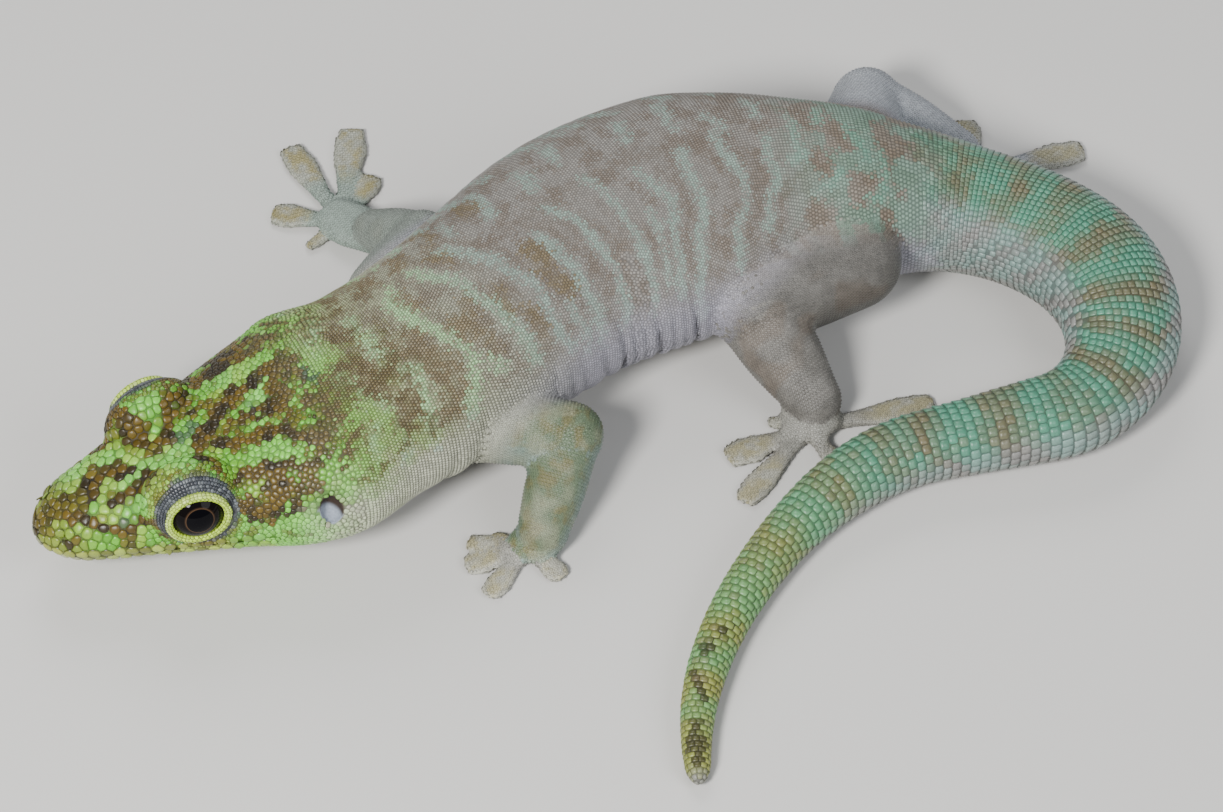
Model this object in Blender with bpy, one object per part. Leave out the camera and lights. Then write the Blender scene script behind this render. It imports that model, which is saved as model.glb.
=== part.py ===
"""Standing's day gecko, life size, lying on a flat floor with its tail curled
round to its left side. The head points along -X and the top of the back is +Z.

All sizes below are in millimetres. The body is one smooth lizard shape: its
middle line starts at the tip of the snout and turns as it runs back to the tip
of the tail, and each station on it says how wide and tall the body is there.
"""
import bmesh
import bpy
import numpy as np
from mathutils import Matrix

OBJECT = "day_gecko"
MM = 0.001
GAP = 0.3  # between two parts that meet
FLOOR_SIZE, FLOOR_THICK = 180.0, 12.0
SNOUT = (-60.44, -18.5)  # tip of the snout, seen from above
SNOUT_ROUND = 4.8  # length of the rounded end of the snout
TAIL_ROUND = 2.6  # length of the rounded end of the tail
BODY_SIDES = 26
TAIL_SIDES = 16
HEAD_SIDES = 32
BODY_STEP = 2.1  # between two rings of the body
FOLD_STEP = 1.45  # the same where the skin is folded
FOLD_DEPTH = 0.32  # of the slack skin along the flanks
FOLD_SPACING = 4.4
FOLDS_FROM, FOLDS_TO = 56.0, 97.0
FOLD_FADE = 9.0  # length over which the folds rise and die away
ROUND_ABOVE, ROUND_BELOW = 2.15, 2.1  # 2 is an ellipse, more is boxier
TRUNK_BOXIER = 0.2  # added below, along the trunk

# name: distance from the snout, direction of travel in degrees (0 is +X),
# height of the widest level, full width, rise above it, drop below it
STATIONS = {
    "snout": (0.0, 22.0, 6.2, 8.0, 2.7, 2.5),
    "nostrils": (4.0, 22.0, 6.5, 9.9, 3.6, 3.3),
    "muzzle": (9.0, 22.5, 6.9, 13.3, 4.8, 4.0),
    "brows": (13.0, 23.5, 7.2, 16.2, 6.0, 4.4),
    "orbits": (16.0, 24.0, 7.4, 18.4, 6.6, 4.8),
    "crown": (21.0, 23.0, 7.7, 22.0, 7.5, 5.9),
    "jaw angle": (26.0, 21.5, 8.2, 25.8, 8.4, 6.9),
    "nape": (31.0, 26.4, 9.0, 27.9, 9.1, 7.6),
    "neck": (38.0, 31.9, 9.8, 25.0, 9.5, 8.0),
    "shoulders": (50.0, 44.5, 10.5, 25.2, 9.7, 8.8),
    "chest": (60.0, 44.8, 10.7, 26.8, 9.8, 9.2),
    "ribs": (70.0, 31.6, 10.7, 29.7, 9.8, 9.3),
    "belly": (80.0, 21.3, 10.7, 30.4, 9.6, 9.4),
    "flank": (86.0, 15.5, 10.5, 27.4, 9.4, 9.1),
    "loins": (92.0, 7.5, 10.2, 23.1, 9.2, 8.8),
    "pelvis": (99.0, 5.8, 9.4, 20.4, 8.8, 8.1),
    "vent": (106.0, 1.1, 8.0, 16.9, 7.4, 7.0),
    "tail root": (113.0, -12.8, 6.6, 14.6, 6.4, 6.6),
    "tail swell": (119.5, -29.1, 5.95, 14.4, 5.95, 6.1),
    "tail bend start": (128.5, -59.3, 5.65, 14.1, 5.65, 5.8),
    "tail bend": (137.0, -94.5, 5.05, 12.6, 5.05, 5.2),
    "tail bend end": (146.0, -135.7, 4.35, 10.4, 4.25, 4.5),
    "tail turn back": (153.0, -165.6, 4.1, 9.5, 4.0, 4.25),
    "tail straight": (162.0, -165.6, 3.65, 8.3, 3.6, 3.8),
    "tail middle": (172.0, -146.1, 3.4, 7.6, 3.35, 3.55),
    "tail slope": (184.0, -127.7, 2.7, 5.9, 2.65, 2.85),
    "tail lower": (196.0, -114.4, 2.25, 4.9, 2.2, 2.4),
    "tail thin": (206.0, -101.0, 1.9, 4.1, 1.85, 2.05),
    "tail end": (213.0, -89.0, 1.45, 3.2, 1.4, 1.6),
    "tail tip": (217.2, -85.4, 1.2, 2.6, 1.15, 1.35),
}
LENGTH = STATIONS["tail tip"][0]
# Where the trunk is: 0 on the head and the tail, 1 from the chest to the pelvis.
TRUNK_PLACES = [0, 30, 60, 95, 112, LENGTH]
TRUNK_SHARE = [0, 0.2, 1, 1, 0, 0]

# The lengths a person would name, with where each one ends.
BODY_LENGTHS = {
    "head": 30.5,
    "neck": 43.0,
    "chest": 62.0,
    "belly": 84.0,
    "pelvis": 106.0,
    "tail_1": 122.0,
    "tail_2": 139.0,
    "tail_3": 160.0,
    "tail_4": 188.0,
    "tail_5": LENGTH,
}

# Places on the head: distance from the snout, to the side, above the widest level.
EYE_AT, EYE_SIDE, EYE_UP = 15.4, 6.7, 3.7
EYE_RADIUS = 3.3
EYE_FACES_FORWARD, EYE_FACES_UP = 8.0, 5.0  # degrees
RIM_REACH = 2.0  # from the eye's centre to the plane of the rim
RIM_RADIUS = 3.05
RIM_THICK = 0.46
MOUND_RADII = (5.1, 4.2, 4.8)  # along the head, outward, upward
MOUND_INSET = 1.25
EAR_AT, EAR_TURN = 28.2, 16.0
EAR_TALL, EAR_LONG, EAR_DEEP = 2.9, 1.9, 2.2
NOSTRIL_AT, NOSTRIL_TURN, NOSTRIL_RADIUS = 2.3, 32.0, 0.45
MOUTH_CORNER = 23.0
MOUTH_DROP_FRONT, MOUTH_DROP_BACK = 1.0, 0.5  # below the widest level
MOUTH_OPEN, MOUTH_DEEP = 0.34, 0.7
MOUTH_PAST = 1.4  # how far the cut runs out past the skin
LIP_RADIUS, LIP_OUT, LIP_OFFSET = 0.6, 0.16, 0.72
LIP_SHORTER = 1.5  # than the line of the mouth, at its corner

# Legs: each joint as x, y, z, and the leg's radius there.
LEGS = {
    "front_left": {
        "hip": (-14.0, -5.9, 9.0, 4.4),
        "knee": (-4.9, -7.1, 8.3, 3.6),
        "ankle": (-7.7, -15.2, 2.9, 2.9),
        "palm": (-9.5, -16.3, 1.3, 2.8),
    },
    "front_right": {
        "hip": (-25.2, 12.2, 8.6, 4.0),
        "knee": (-21.1, 21.5, 7.0, 3.4),
        "ankle": (-26.8, 26.7, 2.9, 2.4),
        "palm": (-30.4, 29.7, 1.3, 3.2),
    },
    "hind_left": {
        "hip": (25.2, 16.4, 9.6, 5.6),
        "knee": (14.2, 10.1, 9.6, 5.0),
        "ankle": (21.0, 2.1, 3.2, 3.1),
        "palm": (20.4, 0.1, 1.35, 3.5),
    },
    "hind_right": {
        "hip": (25.8, 30.7, 8.2, 5.6),
        "knee": (27.9, 42.8, 6.2, 4.1),
        "ankle": (38.0, 38.5, 2.9, 2.7),
        "palm": (40.4, 37.5, 1.3, 3.2),
    },
}
# Toes of each foot: direction in degrees (0 is +X), length from the middle of
# the palm, and the full width of the pad.
TOES = {
    "front_left": (
        (150.0, 4.4, 1.9),
        (172.0, 6.6, 3.2),
        (198.0, 7.0, 3.6),
        (237.0, 7.5, 3.2),
        (318.0, 5.6, 3.2),
    ),
    "front_right": (
        (222.0, 5.4, 1.9),
        (168.0, 8.4, 4.0),
        (119.0, 13.6, 3.9),
        (88.0, 14.8, 4.2),
        (67.0, 8.2, 3.6),
    ),
    "hind_left": (
        (164.0, 4.8, 2.0),
        (204.0, 9.8, 4.1),
        (234.0, 12.4, 3.6),
        (302.0, 8.4, 3.4),
        (15.0, 14.4, 4.0),
    ),
    "hind_right": (
        (128.0, 4.8, 2.0),
        (100.0, 8.4, 4.2),
        (16.0, 12.8, 4.2),
        (330.0, 9.4, 3.6),
        (300.0, 5.2, 3.2),
    ),
}
TOE_ROOT, TOE_WAIST = 2.5, 2.1  # full widths
TOE_TALL, PAD_TALL = 1.6, 1.25
TOE_END = 0.9  # height of the toe's rounded end
TOE_ROOT_UP, PAD_UP = 0.75, 0.42  # of the toe's middle, over the floor
LEG_STEP = 2.4  # between two rings of a leg or a toe
MUSCLE = 1.03  # how much the middle of an upper or lower leg swells
SOLE_CUT = 0.15  # how much of the palm is cut away by the floor

END_RINGS = (86.0, 56.0, 24.0)  # degrees round the dome at each end of a limb
NEAR = 0.2  # to either side of a point, for the way a path runs there

PAINTS = {
    "head_skin": (0.30, 0.42, 0.12, 1.0),
    "body_skin": (0.36, 0.33, 0.28, 1.0),
    "tail_skin": (0.16, 0.37, 0.28, 1.0),
    "leg_skin": (0.38, 0.35, 0.31, 1.0),
    "foot_skin": (0.52, 0.48, 0.38, 1.0),
    "eye_glass": (0.012, 0.010, 0.010, 1.0),
}


def smooth(where, places, values):
    """Smooth curve through values at places, with no overshoot between them."""
    places = np.asarray(places, float)
    values = np.asarray(values, float)
    where = np.clip(where, places[0], places[-1])
    steps = np.diff(places)
    slopes = np.diff(values) / steps
    tangents = np.zeros(len(places))
    tangents[1:-1] = np.where(
        slopes[1:] * slopes[:-1] > 0,
        (slopes[1:] * steps[:-1] + slopes[:-1] * steps[1:]) / (steps[1:] + steps[:-1]),
        0.0,
    )
    tangents[0], tangents[-1] = slopes[0], slopes[-1]
    i = np.clip(np.searchsorted(places, where, side="right") - 1, 0, len(steps) - 1)
    h = steps[i]
    t = (where - places[i]) / h
    return (
        values[i] * (1 + 2 * t) * (1 - t) ** 2
        + tangents[i] * h * t * (1 - t) ** 2
        + values[i + 1] * t * t * (3 - 2 * t)
        + tangents[i + 1] * h * t * t * (t - 1)
    )


STATION_PLACES = [station[0] for station in STATIONS.values()]


def station_value(where, column):
    return smooth(where, STATION_PLACES, [station[column] for station in STATIONS.values()])


def walk_middle_line():
    """The middle line seen from above, found by walking along the headings."""
    reach = np.linspace(0.0, LENGTH, int(LENGTH * 8) + 1)
    middle = (reach[1:] + reach[:-1]) / 2
    heading = np.radians(station_value(middle, 1))
    paces = np.diff(reach)[:, None] * np.stack([np.cos(heading), np.sin(heading)], 1)
    places = np.concatenate([[SNOUT], SNOUT + np.cumsum(paces, axis=0)])
    return reach, places


WALK_REACH, WALK_PLACES = walk_middle_line()


def middle_line(where):
    """Points on the middle line, the way it runs, and the animal's right there."""
    x = np.interp(where, WALK_REACH, WALK_PLACES[:, 0])
    y = np.interp(where, WALK_REACH, WALK_PLACES[:, 1])
    heading = np.radians(station_value(where, 1))
    zero = np.zeros_like(x)
    points = np.stack([x, y, station_value(where, 2)], -1)
    along = np.stack([np.cos(heading), np.sin(heading), zero], -1)
    right = np.stack([-np.sin(heading), np.cos(heading), zero], -1)
    return points, along, right


def tip_scale(where):
    """How much of the full section is left inside the rounded ends."""
    front = np.clip(1 - where / SNOUT_ROUND, 0, 1)
    back = np.clip(1 - (LENGTH - where) / TAIL_ROUND, 0, 1)
    return np.sqrt(1 - front**2) * np.sqrt(1 - back**2)


def body_surface(where, turn, grow=0.0):
    """Skin at a distance from the snout and a turn round the body.

    The section is a rounded box: with turn a, the side is w cos(a)^(2/r) and the
    height is h sin(a)^(2/r). Turn 0 is the animal's right side, 90 degrees the back.
    """
    where, turn = np.broadcast_arrays(np.asarray(where, float), np.asarray(turn, float))
    points, _, right = middle_line(where)
    scale = tip_scale(where)
    trunk = smooth(where, TRUNK_PLACES, TRUNK_SHARE)
    wide = station_value(where, 3) / 2
    c, s = np.cos(turn), np.sin(turn)
    roundness = np.where(s > 0, ROUND_ABOVE, ROUND_BELOW + TRUNK_BOXIER * trunk)
    tall = np.where(s > 0, station_value(where, 4), station_value(where, 5))
    inside = np.clip(np.minimum(where - FOLDS_FROM, FOLDS_TO - where) / FOLD_FADE, 0, 1)
    low_flank = np.clip(0.5 - 0.9 * s, 0, 1) * np.abs(c) ** 0.5
    fold = FOLD_DEPTH * inside * low_flank * np.cos(2 * np.pi * where / FOLD_SPACING)
    side = (wide * scale + grow + fold) * np.sign(c) * np.abs(c) ** (2 / roundness)
    up = (tall * scale + grow) * np.sign(s) * np.abs(s) ** (2 / roundness)
    points = points + right * side[..., None]
    points[..., 2] += up
    return points


def on_head(where, side, up):
    """A place in the head: side is positive to the animal's right."""
    points, _, right = middle_line(np.asarray(float(where)))
    place = points + right * side
    place[2] += up
    return place


def mesh_object(name, points, faces):
    mesh = bpy.data.meshes.new(name)
    mesh.from_pydata((np.asarray(points) * MM).tolist(), [], faces)
    mesh.update()
    return bpy.data.objects.new(name, mesh)


def closed_rings(name, rings):
    """A closed solid through rings of points, with a fan at each end."""
    rows, sides = rings.shape[:2]
    points = np.concatenate(
        [rings.reshape(-1, 3), [rings[0].mean(axis=0)], [rings[-1].mean(axis=0)]]
    )
    faces = []
    for j in range(sides):
        k = (j + 1) % sides
        faces.append((rows * sides, k, j))
        last = (rows - 1) * sides
        faces.append((rows * sides + 1, last + j, last + k))
        for i in range(rows - 1):
            a, b = i * sides, (i + 1) * sides
            faces.append((a + j, a + k, b + k, b + j))
    solid = mesh_object(name, points, faces)
    turn_outward(solid.data)
    return solid


def turn_outward(mesh):
    """Turns every face round if the solid would be inside out."""
    mesh.calc_loop_triangles()
    places = np.array([vertex.co for vertex in mesh.vertices])
    corners = np.array([triangle.vertices for triangle in mesh.loop_triangles])
    if np.linalg.det(places[corners]).sum() < 0:
        mesh.flip_normals()


def body_length(name, start, end, grow=0.0, sides=BODY_SIDES, step=BODY_STEP):
    """One length of the body between two distances from the snout."""
    first = max(start, 0.02)
    last = min(end, LENGTH - 0.02)
    rows = max(int(np.ceil((last - first) / step)), 3) + 1
    where = np.linspace(first, last, rows)
    if start < 0.1:
        nose = SNOUT_ROUND * (1 - np.cos(np.linspace(0.06, np.pi / 2, 6)))
        where = np.concatenate([nose, np.linspace(SNOUT_ROUND, last, rows - 2)[1:]])
    if end > LENGTH - 0.1:
        tip = LENGTH - TAIL_ROUND * (1 - np.cos(np.linspace(np.pi / 2, 0.1, 6)))
        where = np.concatenate([np.linspace(first, LENGTH - TAIL_ROUND, rows - 1)[:-1], tip])
    turn = np.linspace(0, 2 * np.pi, sides, endpoint=False)
    return closed_rings(name, body_surface(where[:, None], turn[None, :], grow))


def limb(name, path, widths, heights, sides, step, grow=0.0):
    """A rounded solid along a path of points, like a sausage with given radii.

    The section is an ellipse with one axis level, and both ends are rounded.
    """
    path = np.asarray(path, float)
    lengths = np.concatenate([[0], np.cumsum(np.linalg.norm(np.diff(path, axis=0), axis=1))])
    marks = np.linspace(0, lengths[-1], len(widths))
    rows = max(int(np.ceil(lengths[-1] / step)), 2) + 1
    where = np.linspace(0, lengths[-1], rows)
    bow = np.radians(END_RINGS)
    first = min(widths[0], heights[0]) + grow
    last = min(widths[-1], heights[-1]) + grow
    ends = np.concatenate([-first * np.sin(bow), where, lengths[-1] + last * np.sin(bow[::-1])])
    shrink = np.concatenate([np.cos(bow), np.ones(rows), np.cos(bow[::-1])])
    inner = np.clip(ends, 0, lengths[-1])
    places = np.stack([smooth(inner, lengths, path[:, i]) for i in range(3)], 1)
    ahead = np.stack([smooth(inner + NEAR, lengths, path[:, i]) for i in range(3)], 1)
    behind = np.stack([smooth(inner - NEAR, lengths, path[:, i]) for i in range(3)], 1)
    along = ahead - behind
    along /= np.linalg.norm(along, axis=1)[:, None]
    places = places + along * (ends - inner)[:, None]
    across = np.cross(along, [0.0, 0.0, 1.0])
    across /= np.linalg.norm(across, axis=1)[:, None]
    over = np.cross(across, along)
    wide = (smooth(inner, marks, widths) + grow) * shrink
    tall = (smooth(inner, marks, heights) + grow) * shrink
    turn = np.linspace(0, 2 * np.pi, sides, endpoint=False)
    rings = (
        places[:, None]
        + across[:, None] * (wide[:, None] * np.cos(turn))[..., None]
        + over[:, None] * (tall[:, None] * np.sin(turn))[..., None]
    )
    return closed_rings(name, rings)


def placed(name, mesh, centre, axes, stretch=(1.0, 1.0, 1.0)):
    """Lays a mesh made round Z at a centre, with its Z along the first axis."""
    frame = Matrix.Identity(4)
    for column, axis in enumerate((1, 2, 0)):
        for row in range(3):
            frame[row][column] = axes[axis][row] * stretch[axis] * MM
    for row in range(3):
        frame[row][3] = centre[row] * MM
    mesh.transform(frame)
    turn_outward(mesh)
    return bpy.data.objects.new(name, mesh)


def ball(name, centre, axes, radii, sides=18, rows=11):
    """An ellipsoid with its poles along the first of three axes."""
    shape = bmesh.new()
    bmesh.ops.create_uvsphere(shape, u_segments=sides, v_segments=rows, radius=1.0)
    mesh = bpy.data.meshes.new(name)
    shape.to_mesh(mesh)
    shape.free()
    return placed(name, mesh, centre, axes, radii)


def hoop(name, centre, axes, stretch, thick, sides=18, round_sides=6):
    """A ring like a tyre, lying round the first of three axes."""
    bpy.ops.mesh.primitive_torus_add(
        major_segments=sides,
        minor_segments=round_sides,
        major_radius=RIM_RADIUS,
        minor_radius=thick,
    )
    ring = bpy.context.object
    mesh = ring.data
    bpy.data.objects.remove(ring)
    return placed(name, mesh, centre, axes, (1.0,) + stretch)


def level_line(drop_front, drop_back, inset, corner=MOUTH_CORNER, count=30):
    """A line round the muzzle just under its widest level, from corner to corner.

    Returns points set in by inset, and the level direction out of the face.
    """
    first = SNOUT_ROUND * 0.04
    where = first + (corner - first) * np.linspace(0, 1, 400) ** 2
    drop = smooth(where, [0, corner * 0.5, corner], [drop_front, drop_front, drop_back])
    scale = tip_scale(where)
    below = station_value(where, 5) * scale
    wide = station_value(where, 3) / 2 * scale
    real = np.abs(drop) < below * 0.995  # the snout's end is lower than the line
    where, drop, below, wide = where[real], drop[real], below[real], wide[real]
    side = wide * np.sqrt(np.clip(1 - (drop / below) ** 2, 0, 1))
    points, ahead, right = middle_line(where)
    right_line = points + right * side[:, None]
    left_line = points - right * side[:, None]
    right_line[:, 2] -= drop
    left_line[:, 2] -= drop
    line = np.concatenate([right_line[::-1], left_line])
    reach = np.concatenate([[0], np.cumsum(np.linalg.norm(np.diff(line, axis=0), axis=1))])
    even = np.linspace(0, reach[-1], count)
    line = np.stack([np.interp(even, reach, line[:, i]) for i in range(3)], 1)
    along = np.gradient(line, axis=0)
    out = np.stack([-along[:, 1], along[:, 0], np.zeros(count)], 1)
    out /= np.linalg.norm(out, axis=1)[:, None]
    if np.dot(out[count // 2], ahead[0]) > 0:
        out = -out
    return line - out * inset, out


def mouth_groove():
    """A thin band, followed round the muzzle, that opens the line of the mouth."""
    deep, out = level_line(MOUTH_DROP_FRONT, MOUTH_DROP_BACK, MOUTH_DEEP)
    outer = deep + out * (MOUTH_DEEP + MOUTH_PAST)
    half = np.array([0.0, 0.0, MOUTH_OPEN / 2])
    inner = half * 0.4
    rings = np.stack([deep - inner, outer - half, outer + half, deep + inner], 1)
    return closed_rings("mouth_groove", rings)


def lip(name, offset):
    """A round bead along one side of the mouth."""
    inset = LIP_RADIUS - LIP_OUT
    front, back = MOUTH_DROP_FRONT - offset, MOUTH_DROP_BACK - offset
    line, _ = level_line(front, back, inset, MOUTH_CORNER - LIP_SHORTER)
    radii = [LIP_RADIUS] * 4
    return limb(name, line[1:-1], radii, radii, sides=6, step=2.8)


def eye_axes(hand):
    """Outward, forward-up and upward axes of one eye; hand is +1 for the right."""
    _, along, right = middle_line(np.asarray(EYE_AT))
    tilt, swing = np.radians([EYE_FACES_UP, EYE_FACES_FORWARD])
    level = right * hand * np.cos(swing) - along * np.sin(swing)
    outward = level * np.cos(tilt) + np.array([0.0, 0.0, 1.0]) * np.sin(tilt)
    forward = np.cross(np.array([0.0, 0.0, 1.0]), outward)
    forward /= np.linalg.norm(forward)
    return np.array([outward, forward, np.cross(outward, forward)])


def collection(name, hidden=False):
    made = bpy.data.collections.new(name)
    made.hide_render = hidden
    bpy.context.scene.collection.children.link(made)
    return made


def helper(solid, group):
    """Keeps a shape as a hidden helper, drawn as wires."""
    solid.hide_render = True
    solid.display_type = "WIRE"
    group.objects.link(solid)
    return solid


def combine(solid, others, operation, group, solver="EXACT"):
    """Joins or cuts a solid with others, and keeps its largest closed surface."""
    tools = bpy.data.collections.new(solid.name + "_" + operation.lower())
    group.children.link(tools)
    if not solid.users_collection:
        bpy.data.collections[OBJECT].objects.link(solid)
    for other in others:
        helper(other, tools)
    modifier = solid.modifiers.new(operation.title(), "BOOLEAN")
    modifier.operation = operation
    modifier.solver = solver
    modifier.operand_type = "COLLECTION"
    modifier.collection = tools
    bpy.context.view_layer.update()
    graph = bpy.context.evaluated_depsgraph_get()
    result = bpy.data.meshes.new_from_object(solid.evaluated_get(graph))
    solid.modifiers.clear()
    solid.data = result
    keep_largest(solid)


def keep_largest(solid):
    """Removes every loose scrap and inner bubble, and keeps the largest surface."""
    mesh = solid.data
    face_of_loop = np.repeat(
        np.arange(len(mesh.polygons)), [face.loop_total for face in mesh.polygons]
    )
    edge_of_loop = np.array([loop.edge_index for loop in mesh.loops])
    label = np.arange(len(mesh.polygons))
    while True:
        lowest = np.full(len(mesh.edges), len(label))
        np.minimum.at(lowest, edge_of_loop, label[face_of_loop])
        fresh = label.copy()
        np.minimum.at(fresh, face_of_loop, lowest[edge_of_loop])
        if (fresh == label).all():
            break
        label = fresh
    if (label == label[0]).all():
        return
    mesh.calc_loop_triangles()
    places = np.array([vertex.co for vertex in mesh.vertices])
    corners = np.array([triangle.vertices for triangle in mesh.loop_triangles])
    owner = np.array([triangle.polygon_index for triangle in mesh.loop_triangles])
    volume = np.zeros(len(label))
    np.add.at(volume, label[owner], np.linalg.det(places[corners]))
    best = volume.argmax()
    kept = [list(mesh.polygons[i].vertices) for i in np.flatnonzero(label == best)]
    used = sorted({index for face in kept for index in face})
    fresh_index = {index: i for i, index in enumerate(used)}
    clean = bpy.data.meshes.new(mesh.name)
    faces = [[fresh_index[index] for index in face] for face in kept]
    clean.from_pydata(places[used].tolist(), [], faces)
    clean.update()
    solid.data = clean


def floor_block():
    """Everything under the floor, which cuts the flat soles."""
    shape = bmesh.new()
    bmesh.ops.create_cube(shape, size=1.0)
    mesh = bpy.data.meshes.new("floor_block")
    shape.to_mesh(mesh)
    shape.free()
    size = Matrix.Diagonal((FLOOR_SIZE * MM, FLOOR_SIZE * MM, FLOOR_THICK * MM, 1.0))
    mesh.transform(Matrix.Translation((0.0, 0.0, -FLOOR_THICK * MM / 2)) @ size)
    return bpy.data.objects.new("floor_block", mesh)


def leg_piece(leg, piece, grow=0.0):
    """The upper or lower length of a leg, or its palm, as one rounded solid."""
    joints = LEGS[leg]
    hip, knee, ankle, palm = (np.array(joints[j]) for j in ("hip", "knee", "ankle", "palm"))
    if piece == "upper":
        middle = (hip + knee) / 2
        radii = [hip[3], middle[3] * MUSCLE, knee[3]]
        path = [hip[:3], middle[:3], knee[:3]]
        return limb(leg + "_upper", path, radii, radii, 16, LEG_STEP, grow)
    if piece == "lower":
        middle = knee * 0.55 + ankle * 0.45
        radii = [knee[3] * 0.92, middle[3] * MUSCLE, ankle[3]]
        path = [knee[:3], middle[:3], ankle[:3]]
        return limb(leg + "_lower", path, radii, radii, 14, LEG_STEP, grow)
    front = palm[:3] + (palm[:3] - ankle[:3]) * 0.35
    front[2] = palm[2]
    heel = ankle[:3] * [1, 1, 0.62]
    wide = [ankle[3] * 0.95, palm[3], palm[3] * 0.8]
    tall = [ankle[3] * 0.8, palm[2] + SOLE_CUT, palm[2] * 0.9]
    return limb(leg + "_palm", [heel, palm[:3], front], wide, tall, 12, LEG_STEP, grow)


def toe(leg, number):
    """A toe with a round waist and a wide, flat pad, from the palm outward."""
    palm = np.array(LEGS[leg]["palm"][:3])
    direction, length, pad_wide = TOES[leg][number]
    swing = np.radians(direction)
    out = np.array([np.cos(swing), np.sin(swing), 0.0])
    pad = pad_wide / 2
    last = pad * 0.8
    root = palm + out * 0.6
    root[2] = TOE_ROOT_UP
    end = palm + out * (length - TOE_END / 2)
    end[2] = PAD_UP
    path = [root, (root + end) / 2, end]
    waist = min(TOE_WAIST / 2, pad * 0.85)
    wide = [TOE_ROOT / 2, waist, waist * 0.45 + pad * 0.55, pad, last]
    tall = [TOE_TALL / 2, TOE_TALL / 2, PAD_TALL / 2, PAD_TALL / 2, TOE_END / 2]
    return limb(leg + "_toe_" + str(number + 1), path, wide, tall, 8, LEG_STEP)


def body_cutter(name, start, end):
    """The body over some of its length, pushed out by the gap."""
    return body_length(name, start, end, GAP, BODY_SIDES, BODY_STEP)


def build_head(group, helpers):
    head = body_length("head", 0.0, BODY_LENGTHS["head"] - GAP / 2, sides=HEAD_SIDES, step=1.8)
    added, removed = [lip("lip_upper", LIP_OFFSET), lip("lip_lower", -LIP_OFFSET)], []
    removed.append(mouth_groove())
    eyes = []
    for hand, side in ((1, "right"), (-1, "left")):
        axes = eye_axes(hand)
        centre = on_head(EYE_AT, EYE_SIDE * hand, EYE_UP)
        mound = (MOUND_RADII[1], MOUND_RADII[0], MOUND_RADII[2])
        added.append(ball("mound_" + side, centre - axes[0] * MOUND_INSET, axes, mound))
        rim = centre + axes[0] * RIM_REACH
        added.append(hoop("rim_" + side, rim, axes, (1.04, 0.97), RIM_THICK))
        cup = [EYE_RADIUS + GAP] * 3
        removed.append(ball("socket_" + side, centre, axes, cup, 20, 12))
        eyes.append(ball("eye_" + side, centre, axes, [EYE_RADIUS] * 3, 18, 12))
        turn = np.radians(EAR_TURN if hand > 0 else 180 - EAR_TURN)
        ear = body_surface(EAR_AT, turn)
        _, along, right = middle_line(np.asarray(EAR_AT))
        cup_axes = np.array([right * hand, along, [0.0, 0.0, 1.0]])
        cup = (EAR_DEEP, EAR_LONG / 2, EAR_TALL / 2)
        removed.append(ball("ear_" + side, ear, cup_axes, cup, 12, 8))
        turn = np.radians(NOSTRIL_TURN if hand > 0 else 180 - NOSTRIL_TURN)
        nostril = body_surface(NOSTRIL_AT, turn)
        pit = [NOSTRIL_RADIUS * 1.3, NOSTRIL_RADIUS, NOSTRIL_RADIUS]
        removed.append(ball("nostril_" + side, nostril, cup_axes, pit, 8, 6))
    combine(head, added, "UNION", helpers)
    combine(head, removed, "DIFFERENCE", helpers)
    for solid in eyes:
        group.objects.link(solid)


def build_body(group, helpers):
    start = BODY_LENGTHS["head"]
    for name, end in BODY_LENGTHS.items():
        if name == "head":
            continue
        last = end if end == LENGTH else end - GAP / 2
        step = FOLD_STEP if name in ("chest", "belly", "pelvis") else BODY_STEP
        sides = TAIL_SIDES if name.startswith("tail") else BODY_SIDES
        solid = body_length(name, start + GAP / 2, last, 0.0, sides, step)
        group.objects.link(solid)
        if name.startswith("tail"):
            combine(solid, [floor_block()], "DIFFERENCE", helpers)
        start = end


def build_leg(leg, helpers):
    front = leg.startswith("front")
    root = (20.0, 84.0) if front else (58.0, 128.0)
    upper_name = leg + ("_upper_arm" if front else "_thigh")
    lower_name = leg + ("_forearm" if front else "_shank")
    foot_name = leg + ("_hand" if front else "_foot")
    upper = leg_piece(leg, "upper")
    combine(upper, [body_cutter(leg + "_root", *root)], "DIFFERENCE", helpers)
    lower = leg_piece(leg, "lower")
    cuts = [leg_piece(leg, "upper", GAP), body_cutter(leg + "_side", *root)]
    cuts.append(leg_piece(leg, "palm", GAP))
    combine(lower, cuts, "DIFFERENCE", helpers)
    foot = leg_piece(leg, "palm")
    # The toes share one root, where the exact solver leaves slivers.
    combine(foot, [toe(leg, number) for number in range(5)], "UNION", helpers, "MANIFOLD")
    cuts = [floor_block(), body_cutter(leg + "_tail", 106.0, LENGTH)]
    combine(foot, cuts, "DIFFERENCE", helpers, "MANIFOLD")
    for solid, name in ((upper, upper_name), (lower, lower_name), (foot, foot_name)):
        solid.name = name
        solid.data.name = name


def paint(name):
    """A plain coat in the colour that the photo shows."""
    material = bpy.data.materials.new(name)
    material.use_nodes = True
    shader = material.node_tree.nodes["Principled BSDF"]
    shader.inputs["Base Color"].default_value = PAINTS[name]
    shader.inputs["Roughness"].default_value = 0.1 if name == "eye_glass" else 0.6
    material.diffuse_color = PAINTS[name]
    return material


def paint_name(node):
    if node.startswith("eye"):
        return "eye_glass"
    if node == "head":
        return "head_skin"
    if node.startswith("tail"):
        return "tail_skin"
    if node.endswith("hand") or node.endswith("foot"):
        return "foot_skin"
    if "left" in node or "right" in node:
        return "leg_skin"
    return "body_skin"


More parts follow.
